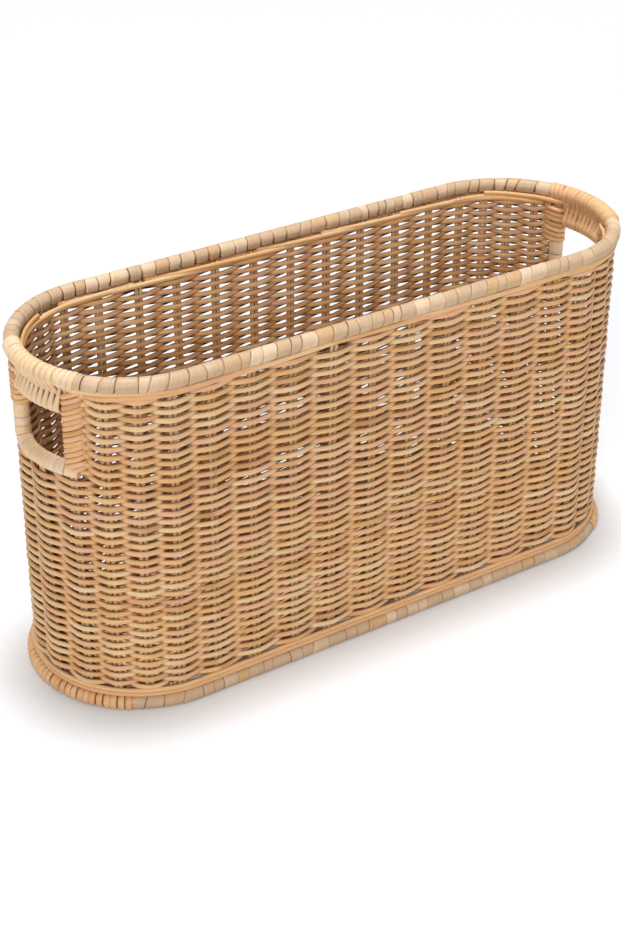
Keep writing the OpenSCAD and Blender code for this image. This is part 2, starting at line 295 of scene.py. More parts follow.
def end_place(end, angle):
    """Places of angles round an end."""
    line, side = sizes().stake_line, side_length()
    if end == FAR:
        return side + line * angle
    return 2 * side + end_length() + line * (math.pi - angle)


def reach_of_side(side, near_angle, far_angle):
    """Where a side begins and ends, in the order of the wall, if it runs on to angles of the ends."""
    near, far = end_place(NEAR, near_angle), end_place(FAR, far_angle)
    return (near - lap(), far) if side == FRONT else (far, near)


def hole(end):
    return sizes().near_hole if end == NEAR else sizes().far_hole


def post_angle(end, side):
    return hole(end) + side * sizes().post_half


def post_places(side):
    """Where the rows of a side begin and end: its two posts, in the order of the wall."""
    return reach_of_side(side, post_angle(NEAR, side), post_angle(FAR, side))


def end_angles(end):
    """Angles of an end's ten stake pairs, from the front."""
    front = np.linspace(FIRST_ANGLE, post_angle(end, FRONT), BEFORE_HOLE)
    back = np.linspace(post_angle(end, BACK), math.pi - FIRST_ANGLE, AFTER_HOLE)
    return np.concatenate([front, [hole(end)], back])


def stake_places():
    """Places of the stake pairs in four lists: front, far end, back and near end."""
    side = side_length()
    along = (np.arange(SIDE_PAIRS) + 0.5) * side / SIDE_PAIRS
    far = end_place(FAR, end_angles(FAR))
    near = end_place(NEAR, end_angles(NEAR)[::-1])
    return along, far, along + side + end_length(), near


def drift(place, height):
    """The slow wander of the hand-made rows and stakes, the same for neighbours."""
    turn = 2 * math.pi * np.asarray(place) / lap()
    rise = np.asarray(height) / DRIFT_HEIGHT
    return sum(
        size * np.sin(waves * turn + climb * rise + start)
        for size, waves, climb, start in DRIFT_WAVES
    )


# Mesh building

GRAIN_RANGE = 40.0  # metres of grain that canes start somewhere in, so that no two look alike
MAP_FIRST = 1.02  # first width of the map, against a square that has the strips' area
MAP_TRIES = 6
MAP_NEAR_SQUARE = 0.01
MAP_MARGINS = 400  # margins between strips that would fill the map's width
MAP_SPARE = 1.002
SHELF_FULL = 0.98
CUT_BEVEL = 0.12  # length of the bevel at a cut end, against the cane's thickness
CUT_FACE = 0.82  # size of the cut face, against the cane's section
CUT_HEART = 0.02  # size of the ring that closes the cut face
LEVEL_PAINTED_SHADE = 0.33  # painted shade on a weaver's skin between two stakes, where it lies in the weave
CREST_PAINTED_SHADE = 0.33  # painted shade added where the weaver passes a stake
FACING_PAINTED_SHADE = 0.75  # painted shade taken off where its skin faces out there, and added where it faces the stake
PAIR_PAINTED_SHADE, PAIR_OPEN = 2.4, 1.6  # how fast painted shade darkens a stake's skin toward its flanks, and from where


def quad_corners(along, across):
    """The place along and across of each corner of a grid's quads."""
    u0, u1, v0, v1 = np.broadcast_arrays(
        along[:-1, None], along[1:, None], across[None, :-1], across[None, 1:]
    )
    return np.stack([u0, u0, u1, u1], -1), np.stack([v0, v1, v1, v0], -1)


class Bundle:
    """Collects tubes of cane and turns of peel, then makes them one piece."""

    def __init__(self):
        self.points, self.faces = [], []
        self.grain, self.tint = [], []
        self.strips = []
        self.count = 0
        self.face_count = 0

    def skin(self, rings, girth, tint, closed=False):
        """Adds a skin over rings, as (rings, points in a ring, 3), with one tint or one for each."""
        n, m = rings.shape[:2]
        index = self.count + np.arange(n * m).reshape(n, m)
        index = np.hstack([index, index[:, :1]])
        run = rings
        if closed:
            index = np.vstack([index, index[:1]])
            run = np.vstack([rings, rings[:1]])
        a, b = index[:-1, :-1], index[:-1, 1:]
        c, d = index[1:, 1:], index[1:, :-1]
        quads = np.stack([a, b, c, d], -1).reshape(-1, 4)
        steps = np.linalg.norm(np.diff(run, axis=0), axis=2).mean(1)
        along = np.concatenate([[0], np.cumsum(steps)])
        across = np.linspace(0, girth, m + 1)
        start = np.random.default_rng(self.count).uniform(0, GRAIN_RANGE)
        u, v = quad_corners(along, across)
        self.points.append(rings.reshape(-1, 3))
        self.faces.append(quads)
        self.grain.append(np.stack([u + start, v], -1).reshape(-1, 2))
        self.tint.append(np.broadcast_to(tint, (n, m, 3)).reshape(-1, 3))
        self.strips.append((along, across, self.face_count))
        self.count += n * m
        self.face_count += len(quads)

    def make(self, name, finish, node):
        """Makes the piece, which replaces a CAD node and rides on the basket."""
        points, faces = np.concatenate(self.points), np.concatenate(self.faces)
        mesh = bpy.data.meshes.new(name)
        mesh.vertices.add(len(points))
        mesh.vertices.foreach_set("co", points.ravel())
        mesh.loops.add(faces.size)
        mesh.loops.foreach_set("vertex_index", faces.ravel().astype(np.int32))
        mesh.polygons.add(len(faces))
        mesh.polygons.foreach_set("loop_start", np.arange(len(faces), dtype=np.int32) * 4)
        mesh.polygons.foreach_set("use_smooth", np.ones(len(faces), bool))
        mesh.update(calc_edges=True)
        for layer, spots in (("OFBake", self.packed_map()), ("grain", np.concatenate(self.grain))):
            mesh.uv_layers.new(name=layer).uv.foreach_set("vector", spots.ravel())
        tints = mesh.attributes.new("cast", "FLOAT_VECTOR", "POINT")
        tints.data.foreach_set("vector", np.concatenate(self.tint).ravel())
        mesh.validate()
        mesh.materials.append(cane_finish(finish))
        piece = bpy.data.objects.new(name, mesh)
        bpy.context.scene.collection.objects.link(piece)
        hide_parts(node)
        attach(piece, "root")

    def packed_map(self):
        """Lays every strip flat in one square, cut to its width, with none on top of another."""
        area = sum(along[-1] * across[-1] for along, across, _ in self.strips)
        width = math.sqrt(area) * MAP_FIRST
        for _ in range(MAP_TRIES):
            spots, height = self.shelves(width)
            if abs(height - width) < MAP_NEAR_SQUARE * width:
                break
            width = math.sqrt(width * height)
        size = max(width, height) * MAP_SPARE
        out = np.zeros((self.face_count * 4, 2))
        for (along, across, first), chunks in zip(self.strips, spots):
            m = len(across) - 1
            for from_ring, to_ring, x, y in chunks:
                u = along[from_ring : to_ring + 1] - along[from_ring] + x
                flat = np.stack(quad_corners(u, across + y), -1).reshape(-1, 2)
                at = (first + from_ring * m) * 4
                out[at : at + len(flat)] = flat / size
        return out

    def shelves(self, width):
        """Puts the strips on shelves of one width, the broadest first. Gives the spots and the height.

        A strip's spots are (first ring, last ring, x, y), more than one where it is cut.
        """
        margin = width / MAP_MARGINS
        spots = [[] for _ in self.strips]
        order = sorted(range(len(self.strips)), key=lambda k: -self.strips[k][1][-1])
        x = y = shelf = 0.0
        for k in order:
            along, across, _ = self.strips[k]
            ring, last = 0, len(along) - 1
            while ring < last:
                room = width - x - margin
                end = int(np.searchsorted(along, along[ring] + room, "right")) - 1
                if x > 0 and end < last:
                    x, y, shelf = 0.0, y + shelf, 0.0
                    continue
                end = min(max(end, ring + 1), last)
                spots[k].append((ring, end, x, y))
                x += along[end] - along[ring] + margin
                shelf = max(shelf, across[-1] + margin)
                ring = end
                if x > width * SHELF_FULL:
                    x, y, shelf = 0.0, y + shelf, 0.0
        return spots, y + shelf


def unit(vectors):
    return vectors / np.linalg.norm(vectors, axis=-1, keepdims=True)


def tangents(points, closed):
    if closed:
        return unit(np.roll(points, -1, 0) - np.roll(points, 1, 0))
    return unit(np.gradient(points, axis=0))


def turned_round(base, out, other, turn, radius):
    """Rings of points round base points, at turns from the direction out toward the other one."""
    turn = turn[:, None, None]
    return base + radius[..., None] * (out * np.cos(turn) + other * np.sin(turn))


def cane(bundle, points, wide_way, wide, thick, tint, closed=False, sides=None, bare=None, pair=None):
    """A cane along points, wide in one direction and thick across it, with bevelled cut ends.

    bare points to the side where each ring is open to view, and pair along the wall to the next cane.
    A skin that lies in the weave, or on either flank of a stake, is darkened with painted shade.
    """
    n, sides = len(points), sides or canes().sides
    ahead = tangents(points, closed)
    across = unit(wide_way - (wide_way * ahead).sum(1, keepdims=True) * ahead)
    through = np.cross(ahead, across)
    turn = np.arange(sides) * 2 * math.pi / sides
    wide, thick = (np.broadcast_to(np.asarray(size, float), n) for size in (wide, thick))
    rings = (
        points[:, None]
        + across[:, None] * (np.cos(turn) * wide[:, None] / 2)[..., None]
        + through[:, None] * (np.sin(turn) * thick[:, None] / 2)[..., None]
    )
    girth = math.pi * (wide.mean() + thick.mean()) / 2
    tint = np.array(np.broadcast_to(np.asarray(tint, float)[..., None, :], (n, sides, 3)))
    outward = across[:, None] * np.cos(turn)[:, None] + through[:, None] * np.sin(turn)[:, None]
    # Painted shade in the tint's third channel: darker where a weaver's skin faces into the weave, and
    # on a stake's flanks.
    if bare is not None:
        crest = np.linalg.norm(bare, axis=1)[:, None]
        facing = (outward * bare[:, None]).sum(2)
        tint[..., 2] = np.clip(LEVEL_PAINTED_SHADE + CREST_PAINTED_SHADE * crest - FACING_PAINTED_SHADE * facing, 0, 1)
    if pair is not None:
        facing = (outward * pair[:, None]).sum(2)
        tint[..., 2] = np.clip(PAIR_PAINTED_SHADE * np.abs(facing) - PAIR_OPEN, 0, 1)
    if closed:
        bundle.skin(rings, girth, tint, closed=True)
        return
    bevel = thick.mean() * CUT_BEVEL

    def cut(end, size):
        return [points[end] + (rings[end] - points[end]) * size]

    rings = np.concatenate(
        [
            cut(0, CUT_HEART),
            cut(0, CUT_FACE),
            rings[:1] + ahead[:1, None] * bevel,
            rings[1:-1],
            rings[-1:] - ahead[-1:, None] * bevel,
            cut(-1, CUT_FACE),
            cut(-1, CUT_HEART),
        ]
    )
    tint = np.concatenate([tint[:1], tint[:1], tint, tint[-1:], tint[-1:]])
    bundle.skin(rings, girth, tint)


def smooth_path(knots, per_step):
    """A smooth curve through points, with an even number of steps between them."""
    knots = np.asarray(knots, float)
    padded = np.vstack([2 * knots[0] - knots[1], knots, 2 * knots[-1] - knots[-2]])
    t = np.linspace(0, 1, per_step, endpoint=False)[:, None]
    parts = []
    for a, b, c, d in zip(padded, padded[1:], padded[2:], padded[3:]):
        bend, twist = 2 * a - 5 * b + 4 * c - d, 3 * b - a - 3 * c + d
        parts.append((2 * b + (c - a) * t + bend * t**2 + twist * t**3) / 2)
    return np.vstack([*parts, knots[-1:]])


def swings(values, steps, bend):
    """Carries each value to the next in steps, straight if bend is 0 and as a cosine if it is 1."""
    t = np.arange(steps) / steps
    wave = bend * np.cos(math.pi * t) + (1 - bend) * (1 - 2 * t)
    here, there = values[:-1, None], values[1:, None]
    return np.append((here + there) / 2 + (here - there) / 2 * wave, values[-1])


SHADE, SHADE_NOISE = 0.42, 0.16
SHADE_RANGE = (0.02, 0.98)


def cast(rng, spread=1.0):
    """A cane's own look: its shade from pale to brown, its warmth, and 0 painted shade, as for a skin
    that lies open.
    """
    shade = SHADE + spread * rng.normal(0, SHADE_NOISE)
    return np.array([np.clip(shade, *SHADE_RANGE), rng.uniform(0, 1), 0.0])


# Materials

STAIN_COLOUR = (0.16, 0.065, 0.022)
# Painted shade: the dark brown that skins lying in the weave, and a stake's flanks, are darkened toward
PAINTED_SHADE_COLOUR = (0.05, 0.016, 0.005)

# Patterns of a cane: scale along and across it, per metre, detail and roughness
SLOW_GRAIN = (22.0, 60.0, 3.0, 0.6)
PATCH_GRAIN = (31.0, 45.0, 2.0, 0.55)
FIBRE_GRAIN = (70.0, 3200.0, 2.0, 0.6)
SPOT_GRAIN = (120.0, 420.0, 3.0, 0.65)
SHADE_WANDER, WARMTH_WANDER = 0.9, 1.3

# Where each colour comes in, as from, to, and its share at both where that isn't 0 and 1
MAIN_IN, WARM_IN, BROWN_IN = (0.08, 0.5), (0.55, 0.95, 0.0, 0.8), (0.55, 1.0)
FIBRE_IN, STAIN_IN, PAINTED_SHADE_IN = (0.28, 0.62), (0.66, 0.80), (0.3, 0.8, 0.0, 0.95)
MIDDLE_OF_NOISE = (0.3, 0.7)
ROUGH_BETWEEN = 0.12  # how much rougher a cane is between its fibres
CANE_SHINE = 0.42
CANE_BUMP, ROD_BUMP = (0.35, 0.2 * MM), (0.3, 0.3 * MM)  # strength and depth

# Patterns of a rod: scale per metre, detail and roughness
ROD_SLOW, ROD_FINE = (60.0, 3.0, 0.6), (900.0, 2.0, 0.6)
ROD_PALER = 1.7
ROD_FINE_SHARE = 0.35
ROD_ROUGHNESS = (0.5, 0.75)

# Slot, pale, main, warm and brown colour, roughness, shade between fibres and strength of the stains
CANE_FINISHES = {
    "weaver cane": ("weaver_cane", "pale", "honey", "pink", "brown", 0.46, 0.84, 0.75),
    "stake cane": ("stake_cane", "honey", "stake", "pink", "brown", 0.52, 0.80, 0.8),
    "lashing cane": ("weaver_cane", "cream", "cream", "pale", "peel_brown", 0.44, 0.84, 0.6),
    "peel": ("peel_binding", "peel", "peel", "cream", "peel_brown", 0.42, 0.83, 0.5),
    "cream peel": ("peel_binding", "cream", "cream", "pale", "peel_brown", 0.42, 0.83, 0.5),
}


class Nodes:
    """Adds nodes to a shader's tree and links them."""

    def __init__(self, tree):
        self.tree = tree

    def node(self, kind, values=None, **settings):
        made = self.tree.nodes.new(kind)
        for key, value in settings.items():
            setattr(made, key, value)
        for key, value in (values or {}).items():
            if isinstance(value, bpy.types.NodeSocket):
                self.tree.links.new(value, made.inputs[key])
            else:
                made.inputs[key].default_value = value
        return made

    def maths(self, operation, first, second=0.0, third=0.0):
        values = {0: first, 1: second, 2: third}
        return self.node("ShaderNodeMath", values, operation=operation).outputs[0]

    def mix(self, factor, first, second, way="MIX"):
        ends = (
            end if isinstance(end, bpy.types.NodeSocket) else (*end, 1.0)
            for end in (first, second)
        )
        values = dict(zip((0, 6, 7), (factor, *ends)))
        return self.node("ShaderNodeMix", values, data_type="RGBA", blend_type=way).outputs[2]

    def noise(self, place, scale, detail, roughness):
        values = {"Vector": place, "Scale": scale, "Detail": detail, "Roughness": roughness}
        return self.node("ShaderNodeTexNoise", values).outputs["Fac"]

    def spread(self, value, low, high, to_low=0.0, to_high=1.0):
        values = {0: value, 1: low, 2: high, 3: to_low, 4: to_high}
        return self.node("ShaderNodeMapRange", values).outputs[0]

    def seen(self):
        """1 where the camera, a reflection or a view through glass looks, for a white backdrop."""
        path = self.node("ShaderNodeLightPath").outputs
        direct = self.maths("MAXIMUM", path["Is Camera Ray"], path["Is Glossy Ray"])
        return self.maths("MAXIMUM", direct, path["Is Transmission Ray"])


class Shader(Nodes):
    """A new material with its nodes."""

    def __init__(self, name):
        self.material = bpy.data.materials.new(name)
        self.material.use_nodes = True
        super().__init__(self.material.node_tree)
        self.base = self.tree.nodes["Principled BSDF"]

    def link(self, value, socket):
        self.tree.links.new(value, self.base.inputs[socket])

    def bump(self, height, strength, distance):
        values = {"Strength": strength, "Distance": distance, "Height": height}
        self.link(self.node("ShaderNodeBump", values).outputs[0], "Normal")

    def grain(self, along, across, detail, roughness):
        """Noise that is stretched along the cane and fine across it."""
        flat = self.node("ShaderNodeUVMap", uv_map="grain").outputs[0]
        values = {"Vector": flat, "Scale": (along, across, 1.0)}
        place = self.node("ShaderNodeMapping", values).outputs[0]
        return self.noise(place, 1.0, detail, roughness)

    def uneven(self, value, pattern, amount):
        """A value that a pattern moves up and down."""
        return self.maths("MULTIPLY_ADD", self.maths("SUBTRACT", pattern, 0.5), amount, value)


def cane_material(name, pale, main, warm, brown, roughness, between, stain):
    """Peeled cane: its own shade along each length, fine fibres, a few brown stains, and painted shade
    in the weave.
    """
    shader = Shader(name)
    own = shader.node("ShaderNodeAttribute", attribute_name="cast").outputs["Vector"]
    shade, warmth, painted_shade = shader.node("ShaderNodeSeparateXYZ", {0: own}).outputs
    fibres, spots = shader.grain(*FIBRE_GRAIN), shader.grain(*SPOT_GRAIN)
    shade = shader.uneven(shade, shader.grain(*SLOW_GRAIN), SHADE_WANDER)
    warmth = shader.uneven(warmth, shader.grain(*PATCH_GRAIN), WARMTH_WANDER)
    colour = shader.mix(shader.spread(shade, *MAIN_IN), pale, main)
    colour = shader.mix(shader.spread(warmth, *WARM_IN), colour, warm)
    colour = shader.mix(shader.spread(shade, *BROWN_IN), colour, brown)
    colour = shader.mix(1.0, colour, shader.spread(fibres, *FIBRE_IN, between, 1.0), "MULTIPLY")
    colour = shader.mix(shader.spread(spots, *STAIN_IN, 0.0, stain), colour, STAIN_COLOUR)
    # Painted shade: skins that lie in the weave or on a stake's flanks are darkened toward dark brown.
    colour = shader.mix(shader.spread(painted_shade, *PAINTED_SHADE_IN), colour, PAINTED_SHADE_COLOUR)
    shader.link(colour, "Base Color")
    rough = shader.spread(fibres, *MIDDLE_OF_NOISE, roughness + ROUGH_BETWEEN, roughness)
    shader.link(rough, "Roughness")
    shader.bump(fibres, *CANE_BUMP)
    shader.base.inputs["Specular IOR Level"].default_value = CANE_SHINE
    return shader.material


def rod_material(name, colour):
    """A peeled rod seen through gaps in its binding."""
    shader = Shader(name)
    place = shader.node("ShaderNodeTexCoord").outputs["Object"]
    slow, fine = shader.noise(place, *ROD_SLOW), shader.noise(place, *ROD_FINE)
    pale = tuple(min(1.0, c * ROD_PALER) for c in colour)
    tone = shader.mix(shader.spread(slow, *MIDDLE_OF_NOISE), colour, pale)
    fine_share = shader.spread(fine, *MIDDLE_OF_NOISE, 0.0, ROD_FINE_SHARE)
    shader.link(shader.mix(fine_share, tone, colour), "Base Color")
    shader.link(shader.spread(fine, *MIDDLE_OF_NOISE, *ROD_ROUGHNESS), "Roughness")
    shader.bump(fine, *ROD_BUMP)
    return shader.material


def cane_finish(kind):
    """The material for a kind of cane, made once."""
    made = bpy.data.materials.get(kind)
    if made:
        return made
    _, *tones, roughness, between, stain = CANE_FINISHES[kind]
    tones = [getattr(colours(), tone) for tone in tones]
    return cane_material(kind, *tones, roughness, between, stain)


# The woven wall

ROW_DRIFT = 0.28 * MM
ROW_NOISE = 0.15 * MM
SWING_NOISE = 0.12 * MM
WEAVER_BEND = 0.72
WEAVER_CURL = 1.9 * MM  # how far the end of a row turns up at a post
WEAVER_TUCK = 1.4 * MM  # how far it passes to the other side of the wall
WEAVER_LEVEL = 0.86  # height of a weaver between two stakes, against that at a stake
WEAVER_SWELL, SWELL_RADIANS = 0.05, 60  # how much a weaver swells, and its waves along a row
ROW_SIZE_NOISE = 0.02
POST_CLEAR = 5.2 * MM
TINT_STEP = 22 * MM
TINT_SPARE = 30 * MM  # takes the last step past the end of the row
TINT_NOISE = 0.13
CANE_LENGTHS = (0.5, 1.9)  # metres of weaving before a new cane begins
STAKE_RINGS = 17
STAKE_DRIFT = 0.55 * MM
STAKE_GAP = 0.1 * MM
STAKE_WANDER = 0.025 * MM
STAKE_SPREAD = 0.05 * MM
STAKE_DEPTH = 0.98  # of a stake through the wall, against its width
STAKE_WAVES, STAKE_CLIMB = 2.3, 0.7  # the drift of the stakes in a lap and up, against the rows'


def row_heights(rng, places, height):
    """Heights of a row at its stakes: the shared drift and the hand's own unevenness."""
    own = rng.normal(0, ROW_NOISE, len(places))
    return height + ROW_DRIFT * drift(places, height) + own


def weave_path(places, offsets, heights, closed):
    """Places, offsets and heights along a weaver, from those where it passes its stakes."""
    if closed:
        places = np.append(places, places[0] + lap())
        offsets, heights = (np.append(values, values[0]) for values in (offsets, heights))
    runs = ((places, 0), (offsets, WEAVER_BEND), (heights, 1))
    path = [swings(values, canes().steps, bend) for values, bend in runs]
    return [values[:-1] for values in path] if closed else path


def carried_on(values, first, last, bend):
    """Values along a row, carried on to those of its two ends."""
    steps = canes().steps // 2
    before = swings(np.array([first, values[0]]), steps, bend)
    after = swings(np.array([values[-1], last]), steps, bend)
    return np.concatenate([before[:-1], values, after[1:]])


def shifted(places, height):
    """Stakes wander a little sideways as they rise."""
    return places + STAKE_DRIFT * drift(places * STAKE_WAVES, np.asarray(height) * STAKE_CLIMB)


class Lengths:
    """Hands out canes of real length, so that a weaver's colour changes where a new cane begins."""

    def __init__(self, rng):
        self.rng = rng
        self.left = 0.0
        self.now = cast(rng)

    def tints(self, distance):
        """A colour for each point along the next stretch of weaving."""
        out = np.empty((len(distance), 3))
        steps = np.diff(distance, prepend=distance[0])
        for k, step in enumerate(steps):
            self.left -= step
            if self.left <= 0:
                self.now = cast(self.rng)
                self.left = self.rng.uniform(*CANE_LENGTHS)
            out[k] = self.now
        return out


def weave_row(bundle, rng, lengths, stakes, parity, base, ends=None):
    """One row of weaving over its stakes, right round, or between two end places where it tucks in."""
    swing = canes().swing
    signs = np.where((np.arange(len(stakes)) + parity) % 2 == 0, 1.0, -1.0)
    heights = row_heights(rng, stakes, base)
    offsets = signs * (swing + rng.normal(0, SWING_NOISE, len(stakes)))
    spots = shifted(stakes, base)
    place, offset, height = weave_path(spots, offsets, heights, ends is None)
    if ends:
        place = carried_on(place, *ends, 0)
        offset = carried_on(offset, -signs[0] * WEAVER_TUCK, -signs[-1] * WEAVER_TUCK, 1)
        height = carried_on(height, height[0] + WEAVER_CURL, height[-1] + WEAVER_CURL, 1)
    points, away = around(place, offset, height)
    swell = np.sin(np.linspace(0, SWELL_RADIANS, len(points)) + rng.uniform(0, 9))
    plump = 1 + WEAVER_SWELL * swell + rng.normal(0, ROW_SIZE_NOISE)
    level = WEAVER_LEVEL + (1 - WEAVER_LEVEL) * np.abs(offset) / swing
    wide = canes().weaver_wide * plump * level
    thick = canes().weaver_thick * (2 - plump)
    tints = lengths.tints(place)
    along = place - place[0]
    knots = np.arange(0, along[-1] + TINT_SPARE, TINT_STEP)
    uneven = np.interp(along, knots, rng.normal(0, 1, len(knots)))
    tints[:, 0] = np.clip(tints[:, 0] + TINT_NOISE * uneven, 0, 1)
    # Which side of the stakes the weaver passes, and how far, for the painted shade of its skin
    bare = away * (offset / swing)[:, None]
    cane(bundle, points, UP, wide, thick, tints, closed=ends is None, bare=bare)


class BASKET_OT_wall(Operator):
    """Weaves the rows that run right round the basket, below the hand holes"""

    bl_idname = "basket.wall"
    bl_label = "Weave the wall"

    def execute(self, context):
        rng = np.random.default_rng(SEEDS["wall"])
        lengths = Lengths(rng)
        stakes = np.concatenate(stake_places())
        row = 0
        for band, rows in enumerate(BAND_ROWS, 1):
            bundle = Bundle()
            for _ in range(rows):
                base = FIRST_ROW + (row + 0.5) * canes().pitch
                weave_row(bundle, rng, lengths, stakes, row % 2, base)
                row += 1
            bundle.make(f"woven_wall_{band}", "weaver cane", f"weave_band_{band}")
        return {"FINISHED"}


def upper_stakes(side):
    """Stakes of the rows beside the hand holes, from one post to the next, without the posts."""
    front, far, back, near = stake_places()
    if side == FRONT:
        kept = BEFORE_HOLE - 1
        return np.concatenate([near[-kept:] - lap(), front, far[:kept]])
    kept = AFTER_HOLE - 1
    return np.concatenate([far[-kept:], back, near[:kept]])


class BASKET_OT_upper_wall(Operator):
    """Weaves the rows that turn back at the hand holes"""

    bl_idname = "basket.upper_wall"
    bl_label = "Weave beside the hand holes"

    def execute(self, context):
        rng = np.random.default_rng(SEEDS["upper wall"])
        for phase, (side, name) in enumerate(SIDES):
            bundle, lengths = Bundle(), Lengths(rng)
            stakes = upper_stakes(side)
            first, last = post_places(side)
            ends = (first + POST_CLEAR, last - POST_CLEAR)
            for row in range(UPPER_ROWS):
                base = SILL_BASE + (row + 0.5) * canes().pitch
                weave_row(bundle, rng, lengths, stakes, (row + phase) % 2, base, ends)
            bundle.make(f"woven_wall_{name}", "weaver cane", f"weave_upper_{name}")
        return {"FINISHED"}


def stake_cane(bundle, rng, place, beside, top):
    """One cane of a pair of stakes. beside is -1 or 1."""
    size = canes().stake
    heights = np.linspace(STAKES_LOW.z, top, STAKE_RINGS)
    spots = shifted(np.full(STAKE_RINGS, place), heights) + beside * (size + STAKE_GAP) / 2
    spots = spots + STAKE_WANDER * np.cumsum(rng.normal(0, 1, STAKE_RINGS))
    points, away = around(spots, rng.normal(0, STAKE_SPREAD), heights)
    # pair runs along the wall, so both flanks of the stake are darkened with painted shade
    cane(bundle, points, away, size, size * STAKE_DEPTH, cast(rng), pair=np.cross(away, UP))


class BASKET_OT_stakes(Operator):
    """Stands the forty pairs of stakes"""

    bl_idname = "basket.stakes"
    bl_label = "Stand the stakes"

    def execute(self, context):
        rng = np.random.default_rng(SEEDS["stakes"])
        front, far, back, near = stake_places()
        groups = {"front": front, "far": far, "back": back, "near": near[::-1]}
        for name, places in groups.items():
            bundle = Bundle()
            for k, place in enumerate(places):
                under_hole = name in ("near", "far") and k in (BEFORE_HOLE, BEFORE_HOLE + 1)
                top = SILL_BASE if under_hole else STAKES_HIGH.z
                for beside in (-1, 1):
                    stake_cane(bundle, rng, place, beside, top)
            bundle.make(f"stakes_{name}_canes", "stake cane", f"stakes_{name}")
        return {"FINISHED"}


# The rim

STRAND_OUT = 3.0 * MM
STRAND_WIDE, STRAND_THICK = 3.9 * MM, 2.8 * MM
STRAND_CLEAR = 4.5 * MM
STRAND_LIFT = 0.5 * MM
STRAND_LENGTHS = (95, 150)  # mm
STRAND_SHORTEST = 20 * MM
STRAND_STEP, STRAND_LEAST = 5 * MM, 8
STRAND_RISING = 0.75  # share of the strands that rise along the wall, where the others fall
STRAND_LAID, STRAND_BELLY = 0.55, 0.6  # shares of STRAND_OUT at its ends, and more at its middle
STRAND_NEXT = (0.40, 0.62)  # share of a strand after which the next one begins
BOLD_TOP = WEAVE_TOP + 4.2 * MM
BOLD_STRANDS = (  # start beyond the post, length, depth below the top and rise, in mm
    (-9.0, 62.0, 0.3, 1.6),
    (7.0, 120.0, 3.6, 3.2),
)
BOLD_EMERGE = 9.0  # mm of length in which such a strand comes out from the wall
BOLD_START, BOLD_OUT, BOLD_BACK = 1.2, 3.1, 1.3  # mm out at first, further out, and back by its end
BOLD_SAG, BOLD_SAG_WAVES = 0.5, 2.3
# The section of a turn of peel, as shares of its width and of its thickness
PEEL_ACROSS, PEEL_RISE = np.array(
    (
        (0.0, 0.0),
        (0.0, 0.55),
        (0.035, 0.92),
        (0.14, 1.0),
        (0.5, 1.06),
        (0.86, 1.0),
        (0.965, 0.92),
        (1.0, 0.55),
        (1.0, 0.0),
    )
).T
PEEL_RINGS = 26
PEEL_SEAT = 0.02 * MM  # gap between the rod and the peel
PEEL_CURL, CURL_RISE = 0.2, 0.3  # share of the width that curls up, and how far, in thicknesses
PEEL_LUMP = 0.015
PEEL_LIGHTER = 0.08
DARK_TURNS, DARK_TURN = 0.16, 0.45  # share of the turns that are darker, and by how much
# Degrees round the rod: a seam slants across the top from -70 to 210, and runs back below
SLANT_DEGREES, SLANT_SHARES = (-110, -70, 210, 250), (-1, -1, 1, -1)
TOP_DEGREES, GATHER_DEGREES = 70, (70, 130)  # the top, and how far from it a turn draws in
PEEL_SLANT = 2.0 * MM
SEAM_NOISE = 1.2 * MM
SEAM_WIDTHS = (0.66, 1.36)  # of the turns, against one another
SEAM_GAPS, SEAM_ODDS = (0.08, 0.14, 0.25, 0.5), (0.4, 0.3, 0.2, 0.1)  # mm, and how often
SEAM_GATHERS = (0.1, 0.9)  # mm
RIM_PEEL_THICK, RIM_PEEL_WIDTH = 1.62 * MM, 10 * MM
RIM_PEEL_MARGIN = math.radians(4)


def strand(bundle, rng, place, out, height, spread=1.0):
    """One slanting strand under the rim."""
    points, _ = around(place, out, height)
    cane(bundle, points, UP, STRAND_WIDE, STRAND_THICK, cast(rng, spread))


def bold_strands(bundle, rng, post, way, out):
    """The two strands that leave a hand hole's post and slant up under the rim's binding."""
    t = np.linspace(0, 1, 26)
    for start, length, low, rise in BOLD_STRANDS:
        emerge = np.clip(t * length / BOLD_EMERGE, 0, 1) ** 0.7
        belly = out * (BOLD_START + BOLD_OUT * emerge - BOLD_BACK * t) * MM
        sag = BOLD_SAG * np.sin(math.pi * t * BOLD_SAG_WAVES) * (1 - t)
        height = BOLD_TOP - (low - rise * t - sag) * MM
        strand(bundle, rng, post + way * (start + length * t) * MM, belly, height, 0.6)


class BASKET_OT_rim_strands(Operator):
    """Lays the slanting strands between the last row and the rim"""

    bl_idname = "basket.rim_strands"
    bl_label = "Lay the rim strands"

    def execute(self, context):
        rng = np.random.default_rng(SEEDS["rim strands"])
        low, high = STRAND_LOW.z, STRAND_HIGH.z
        for name, out in (("outer", 1), ("inner", -1)):
            bundle = Bundle()
            for side, _ in SIDES:
                first, last = post_places(side)
                first, last = first + STRAND_CLEAR, last - STRAND_CLEAR
                place = first
                while place < last - STRAND_SHORTEST:
                    length = min(rng.uniform(*STRAND_LENGTHS) * MM, last - place)
                    t = np.linspace(0, 1, max(STRAND_LEAST, int(length / STRAND_STEP)))
                    rising = t if rng.random() < STRAND_RISING else 1 - t
                    height = low + STRAND_LIFT + (high - low) * rising
                    swell = np.sin(math.pi * np.clip(t * 1.06, 0, 1)) ** 0.5
                    belly = out * STRAND_OUT * (STRAND_LAID + STRAND_BELLY * swell)
                    strand(bundle, rng, place + length * t, belly, height)
                    place += length * rng.uniform(*STRAND_NEXT)
                bold_strands(bundle, rng, first, 1, out)
                bold_strands(bundle, rng, last, -1, out)
            bundle.make(f"rim_strand_{name}_canes", "weaver cane", f"rim_strand_{name}")
        return {"FINISHED"}


